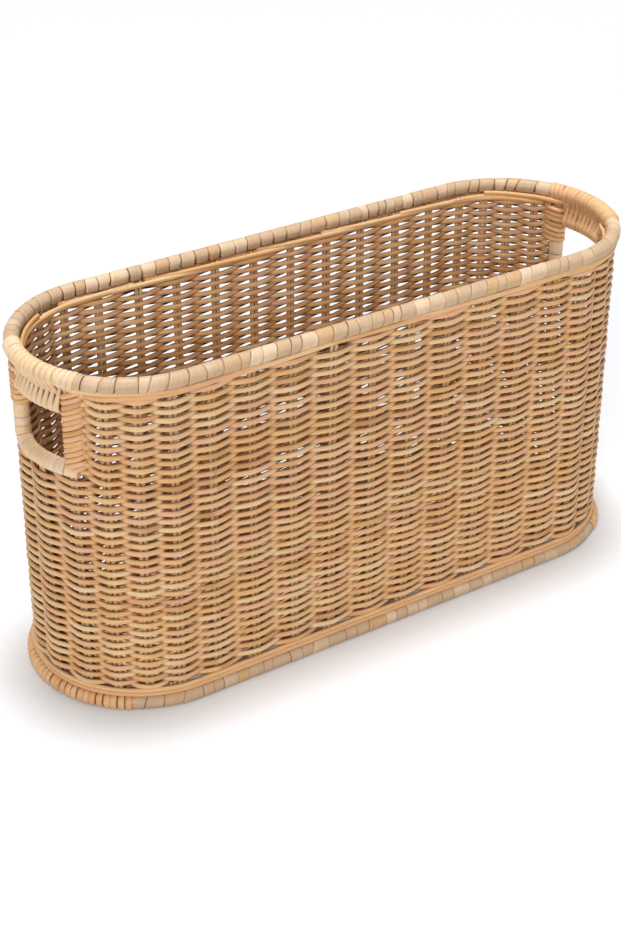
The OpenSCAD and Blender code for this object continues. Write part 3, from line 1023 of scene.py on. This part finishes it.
def peel_turn(bundle, rng, left, right, rod, thick, floor):
    """One turn of peel round a rod between two seams, no lower than the floor it stands on.

    A seam is (place, skew, gather): it slants by its skew on top, and draws in by its gather below.
    0 degrees is outward and 90 is on top.
    """
    line, height, size = rod
    turn = np.linspace(0, 2 * math.pi, PEEL_RINGS, endpoint=False) + math.radians(SLANT_DEGREES[0])
    degrees = np.degrees(turn)
    slant = np.interp(degrees, SLANT_DEGREES, SLANT_SHARES)
    below = np.interp(np.abs(degrees - TOP_DEGREES), GATHER_DEGREES, (0, 1))
    start, stop = (
        place + skew * slant + way * gather * below
        for (place, skew, gather), way in ((left, 1), (right, -1))
    )
    curls = rng.uniform(0, CURL_RISE, 2) * thick
    curl = curls[0] * np.clip(1 - PEEL_ACROSS / PEEL_CURL, 0, 1)
    curl = curl + curls[1] * np.clip(1 - (1 - PEEL_ACROSS) / PEEL_CURL, 0, 1)
    lump = 1 + PEEL_LUMP * np.sin(3 * turn + rng.uniform(0, 6))
    seat = size + PEEL_SEAT
    raised = (seat + PEEL_RISE * thick + curl) * lump[:, None]
    radius = np.where(PEEL_RISE > 0, raised, seat)
    place = start[:, None] + (stop - start)[:, None] * PEEL_ACROSS
    base, away = around(place, line - sizes().stake_line, height)
    rings = turned_round(base, away, UP, turn, radius)
    rings[..., 2] = np.maximum(rings[..., 2], floor)
    shade = cast(rng, 0.9)
    dark = DARK_TURN if rng.random() < DARK_TURNS else 0
    shade[0] = np.clip(shade[0] - PEEL_LIGHTER + dark, 0, 1)
    bundle.skin(rings, float(np.mean(stop - start)) + 2 * thick, shade, closed=True)


def seams(rng, start, stop, width, slant):
    """Places and skews of the seams between turns of peel, of uneven width and slant."""
    count = max(2, int(round((stop - start) / width)))
    share = np.cumsum(np.concatenate([[0], rng.uniform(*SEAM_WIDTHS, count)]))
    places = start + (stop - start) * share / share[-1]
    return places, slant + rng.normal(0, SEAM_NOISE, count + 1)


def bind(bundle, rng, reach, rod, thick, width, floor=0.0):
    """Turns of peel side by side along a rod, given as (distance from the middle, height, radius)."""
    places, skews = seams(rng, *reach, width, PEEL_SLANT)
    for k in range(len(places) - 1):
        gaps = rng.choice(SEAM_GAPS, 2, p=SEAM_ODDS) * MM
        gathers = rng.uniform(*SEAM_GATHERS, 2) * MM
        left = (places[k] + gaps[0], skews[k], gathers[0])
        right = (places[k + 1] - gaps[1], skews[k + 1], gathers[1])
        peel_turn(bundle, rng, left, right, rod, thick, floor)


class BASKET_OT_rim_peel(Operator):
    """Binds the rim with turns of peel"""

    bl_idname = "basket.rim_peel"
    bl_label = "Bind the rim"

    def execute(self, context):
        rng = np.random.default_rng(SEEDS["rim peel"])
        s = sizes()
        margin = RIM_PEEL_MARGIN * s.stake_line
        rod = (s.rim_line, s.rim_height, s.rim_rod)
        for side, name in SIDES:
            bundle = Bundle()
            first, last = post_places(side)
            reach = (first + margin, last - margin)
            bind(bundle, rng, reach, rod, RIM_PEEL_THICK, RIM_PEEL_WIDTH)
            bundle.make(f"rim_binding_{name}", "peel", f"rim_peel_{name}")
        return {"FINISHED"}


# Hand holes

LASHING_WIDE, LASHING_NARROW, LASHING_THICK = 4.7 * MM, 2.5 * MM, 2.75 * MM
LASHING_GAP = math.radians(3.4)
LASHING_SIDES = 10
LASHING_LEAD, LASHING_SPARE = 0.1, 0.7  # turns of room before it, and beyond its whole turns in all
LASHING_CROSSING = 0.085  # share of a turn in which the cane narrows at a crossing
LASHING_WOBBLE = 0.004
LASHING_UNEVEN = 0.12
TURN_POINTS = 48
POST_TURNS, POST_TURN_POINTS = 3, 28
POST_TURN_FIRST, POST_TURN_STEP, POST_TURN_SKEW = (math.radians(d) for d in (1.5, 2.75, 0.9))
POST_TURN_WIDE = 0.86  # against the lashing
LOOP_HALF = ((-1.9, 0.10), (-1.5, 0.72), (-0.8, 1.0), (0.0, 1.0), (0.78, 0.72))
LOOP_PLAN = (*LOOP_HALF, (1.0, 0.0), *((x, -y) for x, y in reversed(LOOP_HALF)))
LOOP_THICK, LOOP_FILL = 2.5 * MM, 0.94  # thickness, and height against the loops' spacing
LOOP_SLANT, BACK_SLANT = 2.1 * MM, 0.3  # how loops rise to the wall, and its share at the back
LOOP_TILTS, LOOP_LEAN = (0.3, 1.1), 0.6
LOOP_STRAY = 0.5 * MM
LOOP_NOISE = 0.12 * MM
FRONT_LOOP, BACK_LOOP = (4.6 * MM, 3.7 * MM), (4.9 * MM, 4.9 * MM)  # half across and half deep
FRONT_SPARE = 0.5 * MM
FRONT_LOOPS, BACK_LOOPS = 15, 7
ELBOW = 9.0 * MM  # radius of the bend from a sill up into the back post
SILL_LEAD = math.radians(3.6)  # how far a sill runs past the front post
SILL_LIFT = 1.2 * MM
SILL_RINGS, ELBOW_RINGS, RISE_RINGS = 40, 14, 12
SILL_TOP = 200.5 * MM
BACK_POST_FOOT = 200.3 * MM
SILL_PEEL_THICK, SILL_PEEL_WIDTH = 1.35 * MM, 8.5 * MM
SILL_SEAM_SLANT = 1.0 * MM
SILL_SEAM_GAPS = (0.06, 0.12, 0.25)  # mm
SILL_BARE = (0.4 * MM, 0.2 * MM)  # of the rod at its two ends
STUB = (0.3, 1.0, 2.0)  # mm from the rod's end, where the rings of its cut end lie


def eight_turn(t, thick):
    """Figures of eight round the rim rod and the grip rod, as (outward, up) from the grip rod.

    t counts the turns. Also gives where in a turn its four legs end: over the rim rod, down, under the
    grip rod and up.
    """
    s = sizes()
    rim = np.array([s.rim_line - s.grip_line, s.rim_height - s.grip_height])
    over_rim, over_grip = s.rim_rod + thick / 2, s.grip_rod + thick / 2
    apart, across = np.linalg.norm(rim), over_rim + over_grip
    lean = math.acos(across / apart)
    arc = 2 * math.pi - 2 * lean
    straight = math.sqrt(apart**2 - across**2)
    legs = np.array([arc * over_rim, straight, arc * over_grip, straight])
    ends = np.cumsum(legs) / legs.sum()
    starts = np.append(0, ends[:-1])
    over, down, under, up = np.clip((np.mod(t, 1)[:, None] - starts) / (ends - starts), 0, 1).T
    heading = math.atan2(-rim[1], -rim[0])

    def on_circle(radius, angle):
        return radius * np.stack([np.cos(heading + angle), np.sin(heading + angle)], -1)

    rim_arc = rim + on_circle(over_rim, lean + arc * over)
    grip_arc = on_circle(-over_grip, -lean - arc * under)
    path = rim_arc + (grip_arc - rim_arc) * down[:, None]
    return path + (rim + on_circle(over_rim, lean) - path) * up[:, None], ends


def lash_grip(bundle, rng, end, reach):
    """The lashing over the two grip rods, as one cane."""
    s = sizes()
    turns = canes().grip_turns
    knots = np.arange(turns + 2)
    t = np.arange(turns * TURN_POINTS + TURN_POINTS // 2) / TURN_POINTS
    eights, legs = eight_turn(t, LASHING_THICK)
    angle = hole(end) - reach + 2 * reach * (t + LASHING_LEAD) / (turns + LASHING_SPARE)
    angle = angle + np.interp(t, knots, rng.normal(0, LASHING_WOBBLE, turns + 2))
    points, away = round_end(end, angle, s.grip_line + eights[:, 0], s.grip_height + eights[:, 1])
    crossings = (middle(legs[0], legs[1]), middle(legs[2], legs[3]))
    off_crossing = np.min([np.abs(np.mod(t, 1) - crossing) for crossing in crossings], axis=0)
    narrowed = np.exp(-((off_crossing / LASHING_CROSSING) ** 2))
    wide = LASHING_WIDE - (LASHING_WIDE - LASHING_NARROW) * narrowed
    tints = np.tile(cast(rng, 0.4), (len(t), 1))
    uneven = np.interp(t, knots, rng.normal(0, LASHING_UNEVEN, turns + 2))
    tints[:, 0] = np.clip(tints[:, 0] + uneven, 0, 1)
    across = np.cross(away, UP)
    cane(bundle, points, across, wide, LASHING_THICK, tints, sides=LASHING_SIDES)


def lash_posts(bundle, rng, end, reach):
    """Single turns over the rim rod beside the lashing, on both posts."""
    s = sizes()
    turn = np.linspace(0, 2 * math.pi, POST_TURN_POINTS, endpoint=False)
    radius = s.rim_rod + LASHING_THICK / 2
    line, height = s.rim_line + radius * np.cos(turn), s.rim_height + radius * np.sin(turn)
    wide = LASHING_WIDE * POST_TURN_WIDE
    for side in (FRONT, BACK):
        skew = POST_TURN_SKEW * np.sin(turn) * side
        for k in range(POST_TURNS):
            angle = hole(end) + side * (reach + POST_TURN_FIRST + POST_TURN_STEP * k)
            ring, away = round_end(end, angle + skew, line, height)
            tint, across = cast(rng, 0.5), np.cross(away, UP)
            cane(bundle, ring, across, wide, LASHING_THICK, tint, closed=True, sides=LASHING_SIDES)


def post_loops(bundle, rng, end, side, reach, count, size, offset=0.0):
    """Loops of cane stacked round a post from one height to another, each closing on the wall side."""
    low, high = reach
    half_across, half_deep = size
    centre = end_place(end, post_angle(end, side)) + offset
    step = (high - low) / count
    across, deep = smooth_path(LOOP_PLAN, 4).T
    place = centre - side * end * across * half_across
    slant = LOOP_SLANT * np.clip(-across, -1, 2) * (1 if side == FRONT else BACK_SLANT)
    for k in range(count):
        height = low + step * (k + 0.5) + rng.normal(0, LOOP_NOISE)
        tilt = -side * LOOP_LEAN * rng.uniform(*LOOP_TILTS) * MM
        stray = LOOP_STRAY * np.clip(-across - 0.9, 0, 2) * rng.uniform(-1, 1)
        height = height + tilt * deep + stray + slant
        points, _ = around(place, deep * half_deep, height)
        cane(bundle, points, UP, step * LOOP_FILL, LOOP_THICK, cast(rng))


def elbow_angle():
    return math.atan(ELBOW / sizes().stake_line)


def sill_path(end):
    """Points along the middle of a sill rod, from the front post up, and outward directions."""
    s = sizes()
    first, last = post_angle(end, FRONT) - SILL_LEAD, post_angle(end, BACK) - elbow_angle()
    angles = np.linspace(first, last, SILL_RINGS)
    height = s.sill_height + np.linspace(SILL_LIFT, 0, len(angles))
    line, away = round_end(end, angles, s.stake_line, height)
    out = away[-1]
    ahead = np.array([-out[1], out[0], 0.0]) * end
    bend = np.linspace(0, math.pi / 2, ELBOW_RINGS)[1:, None]
    curve = line[-1] + ELBOW * (np.sin(bend) * ahead + (1 - np.cos(bend)) * UP)
    rise = np.linspace(curve[-1], [*curve[-1][:2], SILL_TOP], RISE_RINGS)[1:]
    outs = np.vstack([away, np.broadcast_to(out, (len(curve) + len(rise), 3))])
    return np.vstack([line, curve, rise]), outs


def along_path(values, spots, along):
    """Vectors of a path, read between its points at spots along it."""
    return np.stack([np.interp(spots, along, values[:, i]) for i in range(3)], -1)


def bound_rod(bundle, rng, points, outs, rod, thick, width):
    """Turns of peel along any rod, given its middle line and directions across it, and its cut end."""
    steps = np.linalg.norm(np.diff(points, axis=0), axis=1)
    along = np.concatenate([[0], np.cumsum(steps)])
    places, skews = seams(rng, SILL_BARE[0], along[-1] - SILL_BARE[1], width, SILL_SEAM_SLANT)
    ahead = tangents(points, False)
    turn = np.linspace(0, 2 * math.pi, PEEL_RINGS, endpoint=False)
    wave = np.sin(turn + 0.4)
    radius = rod + PEEL_SEAT + PEEL_RISE * thick
    for k in range(len(places) - 1):
        gap = rng.choice(SILL_SEAM_GAPS) * MM
        left = places[k] + gap + skews[k] * wave
        right = places[k + 1] - gap + skews[k + 1] * wave
        spots = np.clip(left[:, None] + (right - left)[:, None] * PEEL_ACROSS, 0, along[-1])
        out, fore = (unit(along_path(values, spots, along)) for values in (outs, ahead))
        base = along_path(points, spots, along)
        rings = turned_round(base, out, np.cross(fore, out), turn, radius)
        shade = cast(rng, 0.6)
        shade[0] = np.clip(shade[0] - 0.1, 0, 1)
        bundle.skin(rings, float(np.mean(right - left)) + 2 * thick, shade, closed=True)
    stub = points[0] + ahead[0] * np.array(STUB)[:, None] * MM
    size = 2 * rod + 1.2 * thick
    cane(bundle, stub, outs[0], size, size, cast(rng, 0.6), sides=16)


class BASKET_OT_hand_holes(Operator):
    """Lashes the grips, binds the sills and loops the posts of both hand holes"""

    bl_idname = "basket.hand_holes"
    bl_label = "Finish the hand holes"

    def execute(self, context):
        rng = np.random.default_rng(SEEDS["hand holes"])
        s = sizes()
        for end, name in ENDS:
            grip = Bundle()
            reach = s.post_half - LASHING_GAP
            lash_grip(grip, rng, end, reach)
            lash_posts(grip, rng, end, reach)
            # Painted shade: the far lashing, seen from inside, takes the darker weaver finish, and the
            # near one the pale lashing finish
            finish = "lashing cane" if end == NEAR else "weaver cane"
            grip.make(f"{name}_grip_lashing_cane", finish, f"{name}_grip_lashing")
            sill = Bundle()
            path = sill_path(end)
            bound_rod(sill, rng, *path, s.sill_rod, SILL_PEEL_THICK, SILL_PEEL_WIDTH)
            sill.make(f"{name}_sill_binding", "cream peel", f"{name}_sill_peel")
            front = Bundle()
            reach = (s.sill_height - FRONT_SPARE, WEAVE_TOP + FRONT_SPARE)
            post_loops(front, rng, end, FRONT, reach, FRONT_LOOPS, FRONT_LOOP)
            front.make(f"{name}_front_post_loops", "weaver cane", f"{name}_front_post")
            back = Bundle()
            reach = (BACK_POST_FOOT, WEAVE_TOP)
            lean = elbow_angle() * s.stake_line - ELBOW
            post_loops(back, rng, end, BACK, reach, BACK_LOOPS, BACK_LOOP, lean)
            back.make(f"{name}_back_post_loops", "weaver cane", f"{name}_back_post")
        return {"FINISHED"}


# Foot

LASH_FROM = math.radians(36)  # where the lashing of an end takes over from the peel
LASH_TURNS = 30
LASH_WIDE, LASH_FLAT_WIDE = 4.75 * MM, 0.82  # width on the outside, and its share elsewhere
LASH_FLAT, LASH_BULGE = 0.6, 1.8  # mm thick, and more on the outside
LASH_GAP = 0.05 * MM
LASH_LEAN = 0.32  # how far a turn leans, against the turns' spacing
LASH_START, LASH_STOP, LASH_POINTS = math.radians(-75), math.radians(235), 22
LASH_NOISE = 0.004
CUT_END_LENGTH, CUT_END_WIDE, CUT_END_THICK = 8.5 * MM, 6.6 * MM, 6.0 * MM
CUT_END_OUT, CUT_END_DOWN, CUT_END_LAP = 0.9 * MM, 0.1 * MM, math.radians(1.0)
FOOT_PEEL_THICK, FOOT_PEEL_WIDTH = 0.75 * MM, 11 * MM
FOOT_PEEL_FLOOR = 0.3 * MM
FOOT_CANE_FLOOR = 0.6 * MM
FOOT_STRAND_OUT = 3.1 * MM
FOOT_STRAND_WIDE, FOOT_STRAND_THICK, FOOT_STRAND_INSET = 3.2 * MM, 3.1 * MM, 1.5 * MM
FOOT_STRAND_STEP = 6 * MM


def foot_arc(bundle, rng, end, angle, step):
    """One turn of cane over the foot rod, flattened where the basket stands on it."""
    s = sizes()
    turn = np.linspace(LASH_START, LASH_STOP, LASH_POINTS)
    bulge = np.clip(np.cos(turn), 0, 1) ** 0.7
    thick = (LASH_FLAT + LASH_BULGE * bulge) * MM
    radius = s.foot_rod + LASH_GAP + thick / 2
    lean = step * LASH_LEAN * (turn - turn.mean()) / np.ptp(turn)
    height = np.maximum(s.foot_height + radius * np.sin(turn), FOOT_CANE_FLOOR + thick * 0.3)
    points, away = round_end(end, angle + lean, s.foot_line + radius * np.cos(turn), height)
    wide = LASH_WIDE * (LASH_FLAT_WIDE + (1 - LASH_FLAT_WIDE) * bulge)
    tint, across = cast(rng, 0.8), np.cross(away, UP)
    cane(bundle, points, across, wide, thick, tint, sides=LASHING_SIDES)


def cut_foot_end(bundle, rng, angle):
    """The cut end of the foot rod, where the lashing of the near end begins."""
    s = sizes()
    angles = angle - np.linspace(0, CUT_END_LENGTH, 5) / s.foot_line
    line, height = s.foot_line + CUT_END_OUT, s.foot_height - CUT_END_DOWN
    points, away = round_end(NEAR, angles, line, height)
    cane(bundle, points, away, CUT_END_WIDE, CUT_END_THICK, cast(rng, 0.2), sides=14)


def foot_strands(bundle, rng):
    """The two strands that lie on the foot, right round the basket."""
    wide, thick, inset = FOOT_STRAND_WIDE, FOOT_STRAND_THICK, FOOT_STRAND_INSET
    places = np.arange(0, lap(), FOOT_STRAND_STEP)
    for k, height in enumerate((FOOT_STRANDS_LOW.z + inset, FOOT_STRANDS_HIGH.z - inset)):
        wave = 0.25 * MM * np.sin(places * 34 + k * 2) + 0.2 * MM * np.sin(places * 91 + k)
        points, _ = around(places, FOOT_STRAND_OUT + wave, height + wave * 0.6)
        cane(bundle, points, UP, wide, thick, Lengths(rng).tints(places), closed=True)


class BASKET_OT_foot(Operator):
    """Binds the foot with peel along the sides and cane round the ends, and lays its strands"""

    bl_idname = "basket.foot"
    bl_label = "Bind the foot"

    def execute(self, context):
        rng = np.random.default_rng(SEEDS["foot"])
        s = sizes()
        rod = (s.foot_line, s.foot_height, s.foot_rod)
        for side, name in SIDES:
            bundle = Bundle()
            angle = LASH_FROM if side == FRONT else math.pi - LASH_FROM
            reach = reach_of_side(side, angle, angle)
            bind(bundle, rng, reach, rod, FOOT_PEEL_THICK, FOOT_PEEL_WIDTH, FOOT_PEEL_FLOOR)
            bundle.make(f"foot_binding_{name}", "peel", f"foot_peel_{name}")
        step = (math.pi - 2 * LASH_FROM) / LASH_TURNS
        for end, name in ENDS:
            bundle = Bundle()
            for k in range(LASH_TURNS):
                angle = LASH_FROM + step * (k + 0.5) + rng.normal(0, LASH_NOISE)
                foot_arc(bundle, rng, end, angle, step)
            if end == NEAR:
                cut_foot_end(bundle, rng, LASH_FROM + CUT_END_LAP)
            bundle.make(f"foot_lashing_{name}_canes", "weaver cane", f"foot_lashing_{name}")
        bundle = Bundle()
        foot_strands(bundle, rng)
        bundle.make("foot_strand_canes", "weaver cane", "foot_strands")
        return {"FINISHED"}


# Floor

STICK_PAIRS = SIDE_PAIRS + 4
STICK_RINGS = 12
FLOOR_PITCH = 3.1 * MM
FLOOR_WEAVER_WIDE, FLOOR_WEAVER_THICK = 3.0 * MM, 2.7 * MM
FLOOR_BEND = 0.75
FLOOR_NOISE, FLOOR_WANDER = 0.1 * MM, 0.15 * MM
STICK_CLEAR, STICK_SHORT = 0.5 * MM, 1.5 * MM  # to the wall's stakes, and more in a round end
STICK_NOISE = 0.05 * MM
HOOP_CLEAR, HOOP_TOUCH = 1 * MM, 0.1 * MM
FLOOR_STEPS = 8
ALONG_Y = np.array([0.0, 1.0, 0.0])


def floor_sticks(bundle, rng, stick_x, height):
    """Pairs of sticks across the floor, shorter in the round ends."""
    s, size = sizes(), canes().stake
    reach = s.stake_line - size / 2 - STICK_CLEAR
    for x in stick_x:
        past = max(abs(x) - s.half, 0)
        y = math.sqrt(reach**2 - past**2) - (STICK_SHORT if past > 0 else 0)
        for beside in (-1, 1):
            xs = x + beside * (size + STAKE_GAP) / 2 + rng.normal(0, STICK_NOISE, STICK_RINGS)
            ys, zs = np.linspace(-y, y, STICK_RINGS), np.full(STICK_RINGS, height)
            cane(bundle, np.stack([xs, ys, zs], -1), UP, size, size, cast(rng))


def floor_weavers(bundle, rng, stick_x, height):
    """Weavers along the floor, over one pair of sticks and under the next."""
    hoop = FLOOR_HOOP_HIGH.y - (FLOOR_HOOP_HIGH.z - FLOOR_HOOP_LOW.z)
    rows = 2 * int((hoop - HOOP_CLEAR) / FLOOR_PITCH) - 1
    for k in range(rows):
        y = (k - (rows - 1) / 2) * FLOOR_PITCH
        past = math.sqrt((hoop - HOOP_TOUCH) ** 2 - (abs(y) + FLOOR_PITCH / 2) ** 2)
        end = sizes().half + past
        index = np.nonzero(np.abs(stick_x) < end - canes().stake)[0]
        sign = np.where((index + k) % 2 == 0, 1.0, -1.0)
        rises = sign * (canes().swing + rng.normal(0, FLOOR_NOISE, len(sign)))
        xs = swings(np.concatenate([[-end], stick_x[index], [end]]), FLOOR_STEPS, 0)
        zs = height + swings(np.concatenate([[0], rises, [0]]), FLOOR_STEPS, FLOOR_BEND)
        ys = y + FLOOR_WANDER * np.sin(xs * 40 + k)
        points, tint = np.stack([xs, ys, zs], -1), cast(rng)
        cane(bundle, points, ALONG_Y, FLOOR_WEAVER_WIDE, FLOOR_WEAVER_THICK, tint)


class BASKET_OT_floor(Operator):
    """Weaves the floor over its cross sticks"""

    bl_idname = "basket.floor"
    bl_label = "Weave the floor"

    def execute(self, context):
        rng = np.random.default_rng(SEEDS["floor"])
        height = middle(STICKS_LOW.z, STICKS_HIGH.z)
        step = side_length() / SIDE_PAIRS
        stick_x = step * (np.arange(STICK_PAIRS) - (STICK_PAIRS - 1) / 2)
        sticks, weave = Bundle(), Bundle()
        floor_sticks(sticks, rng, stick_x, height)
        sticks.make("floor_stick_canes", "stake cane", "floor_sticks")
        floor_weavers(weave, rng, stick_x, height)
        weave.make("floor_weaver_canes", "weaver cane", "floor_weave")
        return {"FINISHED"}


HOOPS = ("rim_hoop", "foot_hoop", "floor_hoop")
HOLE_RODS = ("near_grip_rod", "far_grip_rod", "near_sill_rod", "far_sill_rod")


class BASKET_OT_rods(Operator):
    """Finishes the rods that show through the bindings"""

    bl_idname = "basket.rods"
    bl_label = "Finish the rods"

    def execute(self, context):
        finish = rod_material("rattan rod", colours().rod)
        for name in (*HOOPS, *HOLE_RODS):
            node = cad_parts[name]
            node.data.materials.clear()
            node.data.materials.append(finish)
        return {"FINISHED"}


# Stage

CAMERA_TARGET = np.array([0.0, 0.0, 110 * MM])
CAMERA_LEFT, CAMERA_DOWN = 12.4 * MM, 17.3 * MM  # from the target to the middle of the picture
CAMERA_ROLL = math.radians(-0.069)
SENSOR_WIDTH = 36.0
CLIP_RANGE = (50 * MM, 50.0)
LAMP_TARGET = Vector((0, 0, 100 * MM))
LAMPS = (  # name, place and width
    ("key", (-6.0, -5.0, 4.4), 3.3),
    ("top", (0.2, 0.36, 5.0), 1.4),
    ("side", (4.0, -4.5, 2.2), 2.0),
)
FLOOR_HALF = 6.0
FLOOR_COLOUR = (0.8, 0.8, 0.8)
FLOOR_CAST = (0.99, 1.01, 1.035)
FLOOR_FADES = (0.5, 1.5)  # how far out the floor begins to turn white, and where it is all white


class StageLook(PropertyGroup):
    """The camera and the light."""

    azimuth: angle_value(
        "Azimuth", "Direction the camera looks from, round the basket", -33.8431
    )
    elevation: angle_value("Elevation", "Height of the camera above the horizon", 30.342)
    distance: length_value("Distance", "From the camera to the point it looks at", 1.337)
    lens: FloatProperty(
        name="Lens",
        description="Focal length on a 36 mm sensor",
        default=74.163,
        unit="CAMERA",
    )
    daylight: FloatProperty(
        name="Daylight",
        description="Strength of the even light from all round",
        default=0.2,
    )
    key: power_value("Key light", "Power of the large soft lamp to the left of the front", 405.0)
    top: power_value("Top light", "Power of the soft lamp overhead", 225.0)
    side: power_value("Side light", "Power of the lamp to the right of the front", 60.0)
    floor_white: FloatProperty(
        name="Floor white",
        description="How white the camera sees the floor, against the 0.8 that lights the basket",
        default=0.81,
    )


def aim(azimuth, elevation):
    """The direction from the target back to the camera, and the camera's right and up."""
    level = math.cos(elevation)
    back = np.array([math.sin(azimuth) * level, -math.cos(azimuth) * level, math.sin(elevation)])
    right = unit(np.cross(-back, UP))
    return back, right, np.cross(right, -back)


def set_camera(scene, look):
    back, right, up = aim(look.azimuth, look.elevation)
    target = CAMERA_TARGET - CAMERA_LEFT * right - CAMERA_DOWN * up
    across = math.cos(CAMERA_ROLL) * right - math.sin(CAMERA_ROLL) * up
    upward = math.sin(CAMERA_ROLL) * right + math.cos(CAMERA_ROLL) * up
    turned = Matrix(np.stack([across, upward, back], 1).tolist()).to_4x4()
    data = bpy.data.cameras.new("camera")
    data.sensor_width, data.lens = SENSOR_WIDTH, look.lens
    data.clip_start, data.clip_end = CLIP_RANGE
    camera = bpy.data.objects.new("camera", data)
    camera.matrix_world = Matrix.Translation(Vector(target + back * look.distance)) @ turned
    scene.collection.objects.link(camera)
    scene.camera = camera


def soft_lamp(scene, name, place, size, power):
    light = bpy.data.lights.new(name, "AREA")
    light.shape, light.size, light.energy = "DISK", size, power
    lamp = bpy.data.objects.new(name, light)
    lamp.location = place
    lamp.rotation_mode = "QUATERNION"
    lamp.rotation_quaternion = (Vector(place) - LAMP_TARGET).to_track_quat("Z", "Y")
    scene.collection.objects.link(lamp)


def set_daylight(scene, look):
    """Even light from all round, which the camera sees as white."""
    world = scene.world or bpy.data.worlds.new("daylight")
    scene.world = world
    world.use_nodes = True
    sky = world.node_tree.nodes["Background"]
    sky.inputs["Color"].default_value = (1.0, 1.0, 1.0, 1.0)
    nodes = Nodes(world.node_tree)
    strength = nodes.spread(nodes.seen(), 0.0, 1.0, look.daylight, 1.0)
    nodes.tree.links.new(strength, sky.inputs["Strength"])


def floor_paper(look):
    """Matt paper, which the camera sees a little whiter, and white where it is far from the basket."""
    paper = Shader("floor paper")
    seen = paper.seen()
    white = tuple(look.floor_white * tone for tone in FLOOR_CAST)
    shade = paper.mix(seen, FLOOR_COLOUR, white)
    matt = paper.node("ShaderNodeBsdfDiffuse", {"Color": shade}).outputs[0]
    bright = paper.node("ShaderNodeEmission").outputs[0]
    place = paper.node("ShaderNodeNewGeometry").outputs["Position"]
    reach = paper.node("ShaderNodeVectorMath", {0: place}, operation="LENGTH").outputs["Value"]
    glow = paper.maths("MULTIPLY", paper.spread(reach, *FLOOR_FADES), seen)
    both = paper.node("ShaderNodeMixShader", {0: glow, 1: matt, 2: bright}).outputs[0]
    paper.tree.links.new(both, paper.tree.nodes["Material Output"].inputs["Surface"])
    return paper.material


def lay_floor(scene, look):
    square = ((-1, -1), (1, -1), (1, 1), (-1, 1))
    points = [(x * FLOOR_HALF, y * FLOOR_HALF, 0) for x, y in square]
    mesh = bpy.data.meshes.new("floor")
    mesh.from_pydata(points, [], [(0, 1, 2, 3)])
    mesh.materials.append(floor_paper(look))
    floor = bpy.data.objects.new("floor", mesh)
    scene.collection.objects.link(floor)


class BASKET_OT_stage(Operator):
    """Lays the pale floor and sets the light and the camera"""

    bl_idname = "basket.stage"
    bl_label = "Set the stage"

    def execute(self, context):
        scene, look = context.scene, context.scene.basket_stage
        scene.view_settings.view_transform = "Standard"
        set_camera(scene, look)
        set_daylight(scene, look)
        lay_floor(scene, look)
        for name, place, size in LAMPS:
            soft_lamp(scene, name, place, size, getattr(look, name))
        return {"FINISHED"}


class BASKET_PT_maker(Panel):
    """Lists the basket's steps, sizes and colours"""

    bl_idname = "BASKET_PT_maker"
    bl_label = "Wicker basket"
    bl_space_type = "VIEW_3D"
    bl_region_type = "UI"
    bl_category = "Basket"

    def draw(self, context):
        layout = self.layout
        for step in STEPS:
            layout.operator(step.bl_idname)
        for group in GROUPS:
            box = layout.box()
            values = getattr(context.scene, group)
            for key in values.bl_rna.properties.keys():
                if key not in ("rna_type", "name"):
                    box.prop(values, key)


STEPS = (
    BASKET_OT_stage,
    BASKET_OT_rods,
    BASKET_OT_stakes,
    BASKET_OT_wall,
    BASKET_OT_upper_wall,
    BASKET_OT_rim_strands,
    BASKET_OT_rim_peel,
    BASKET_OT_hand_holes,
    BASKET_OT_foot,
    BASKET_OT_floor,
)
GROUPS = {
    "basket_sizes": BasketSizes,
    "basket_canes": CaneSizes,
    "basket_colours": CaneColours,
    "basket_stage": StageLook,
}


def register():
    for name, group in GROUPS.items():
        bpy.utils.register_class(group)
        setattr(bpy.types.Scene, name, PointerProperty(type=group))
    for made in (*STEPS, BASKET_PT_maker):
        bpy.utils.register_class(made)


def unregister():
    for made in (*STEPS, BASKET_PT_maker):
        bpy.utils.unregister_class(made)
    for name, group in GROUPS.items():
        delattr(bpy.types.Scene, name)
        bpy.utils.unregister_class(group)


def main():
    register()
    for step in STEPS:
        group, call = step.bl_idname.split(".")
        getattr(getattr(bpy.ops, group), call)()
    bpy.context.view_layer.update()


if __name__ == "__main__":
    main()
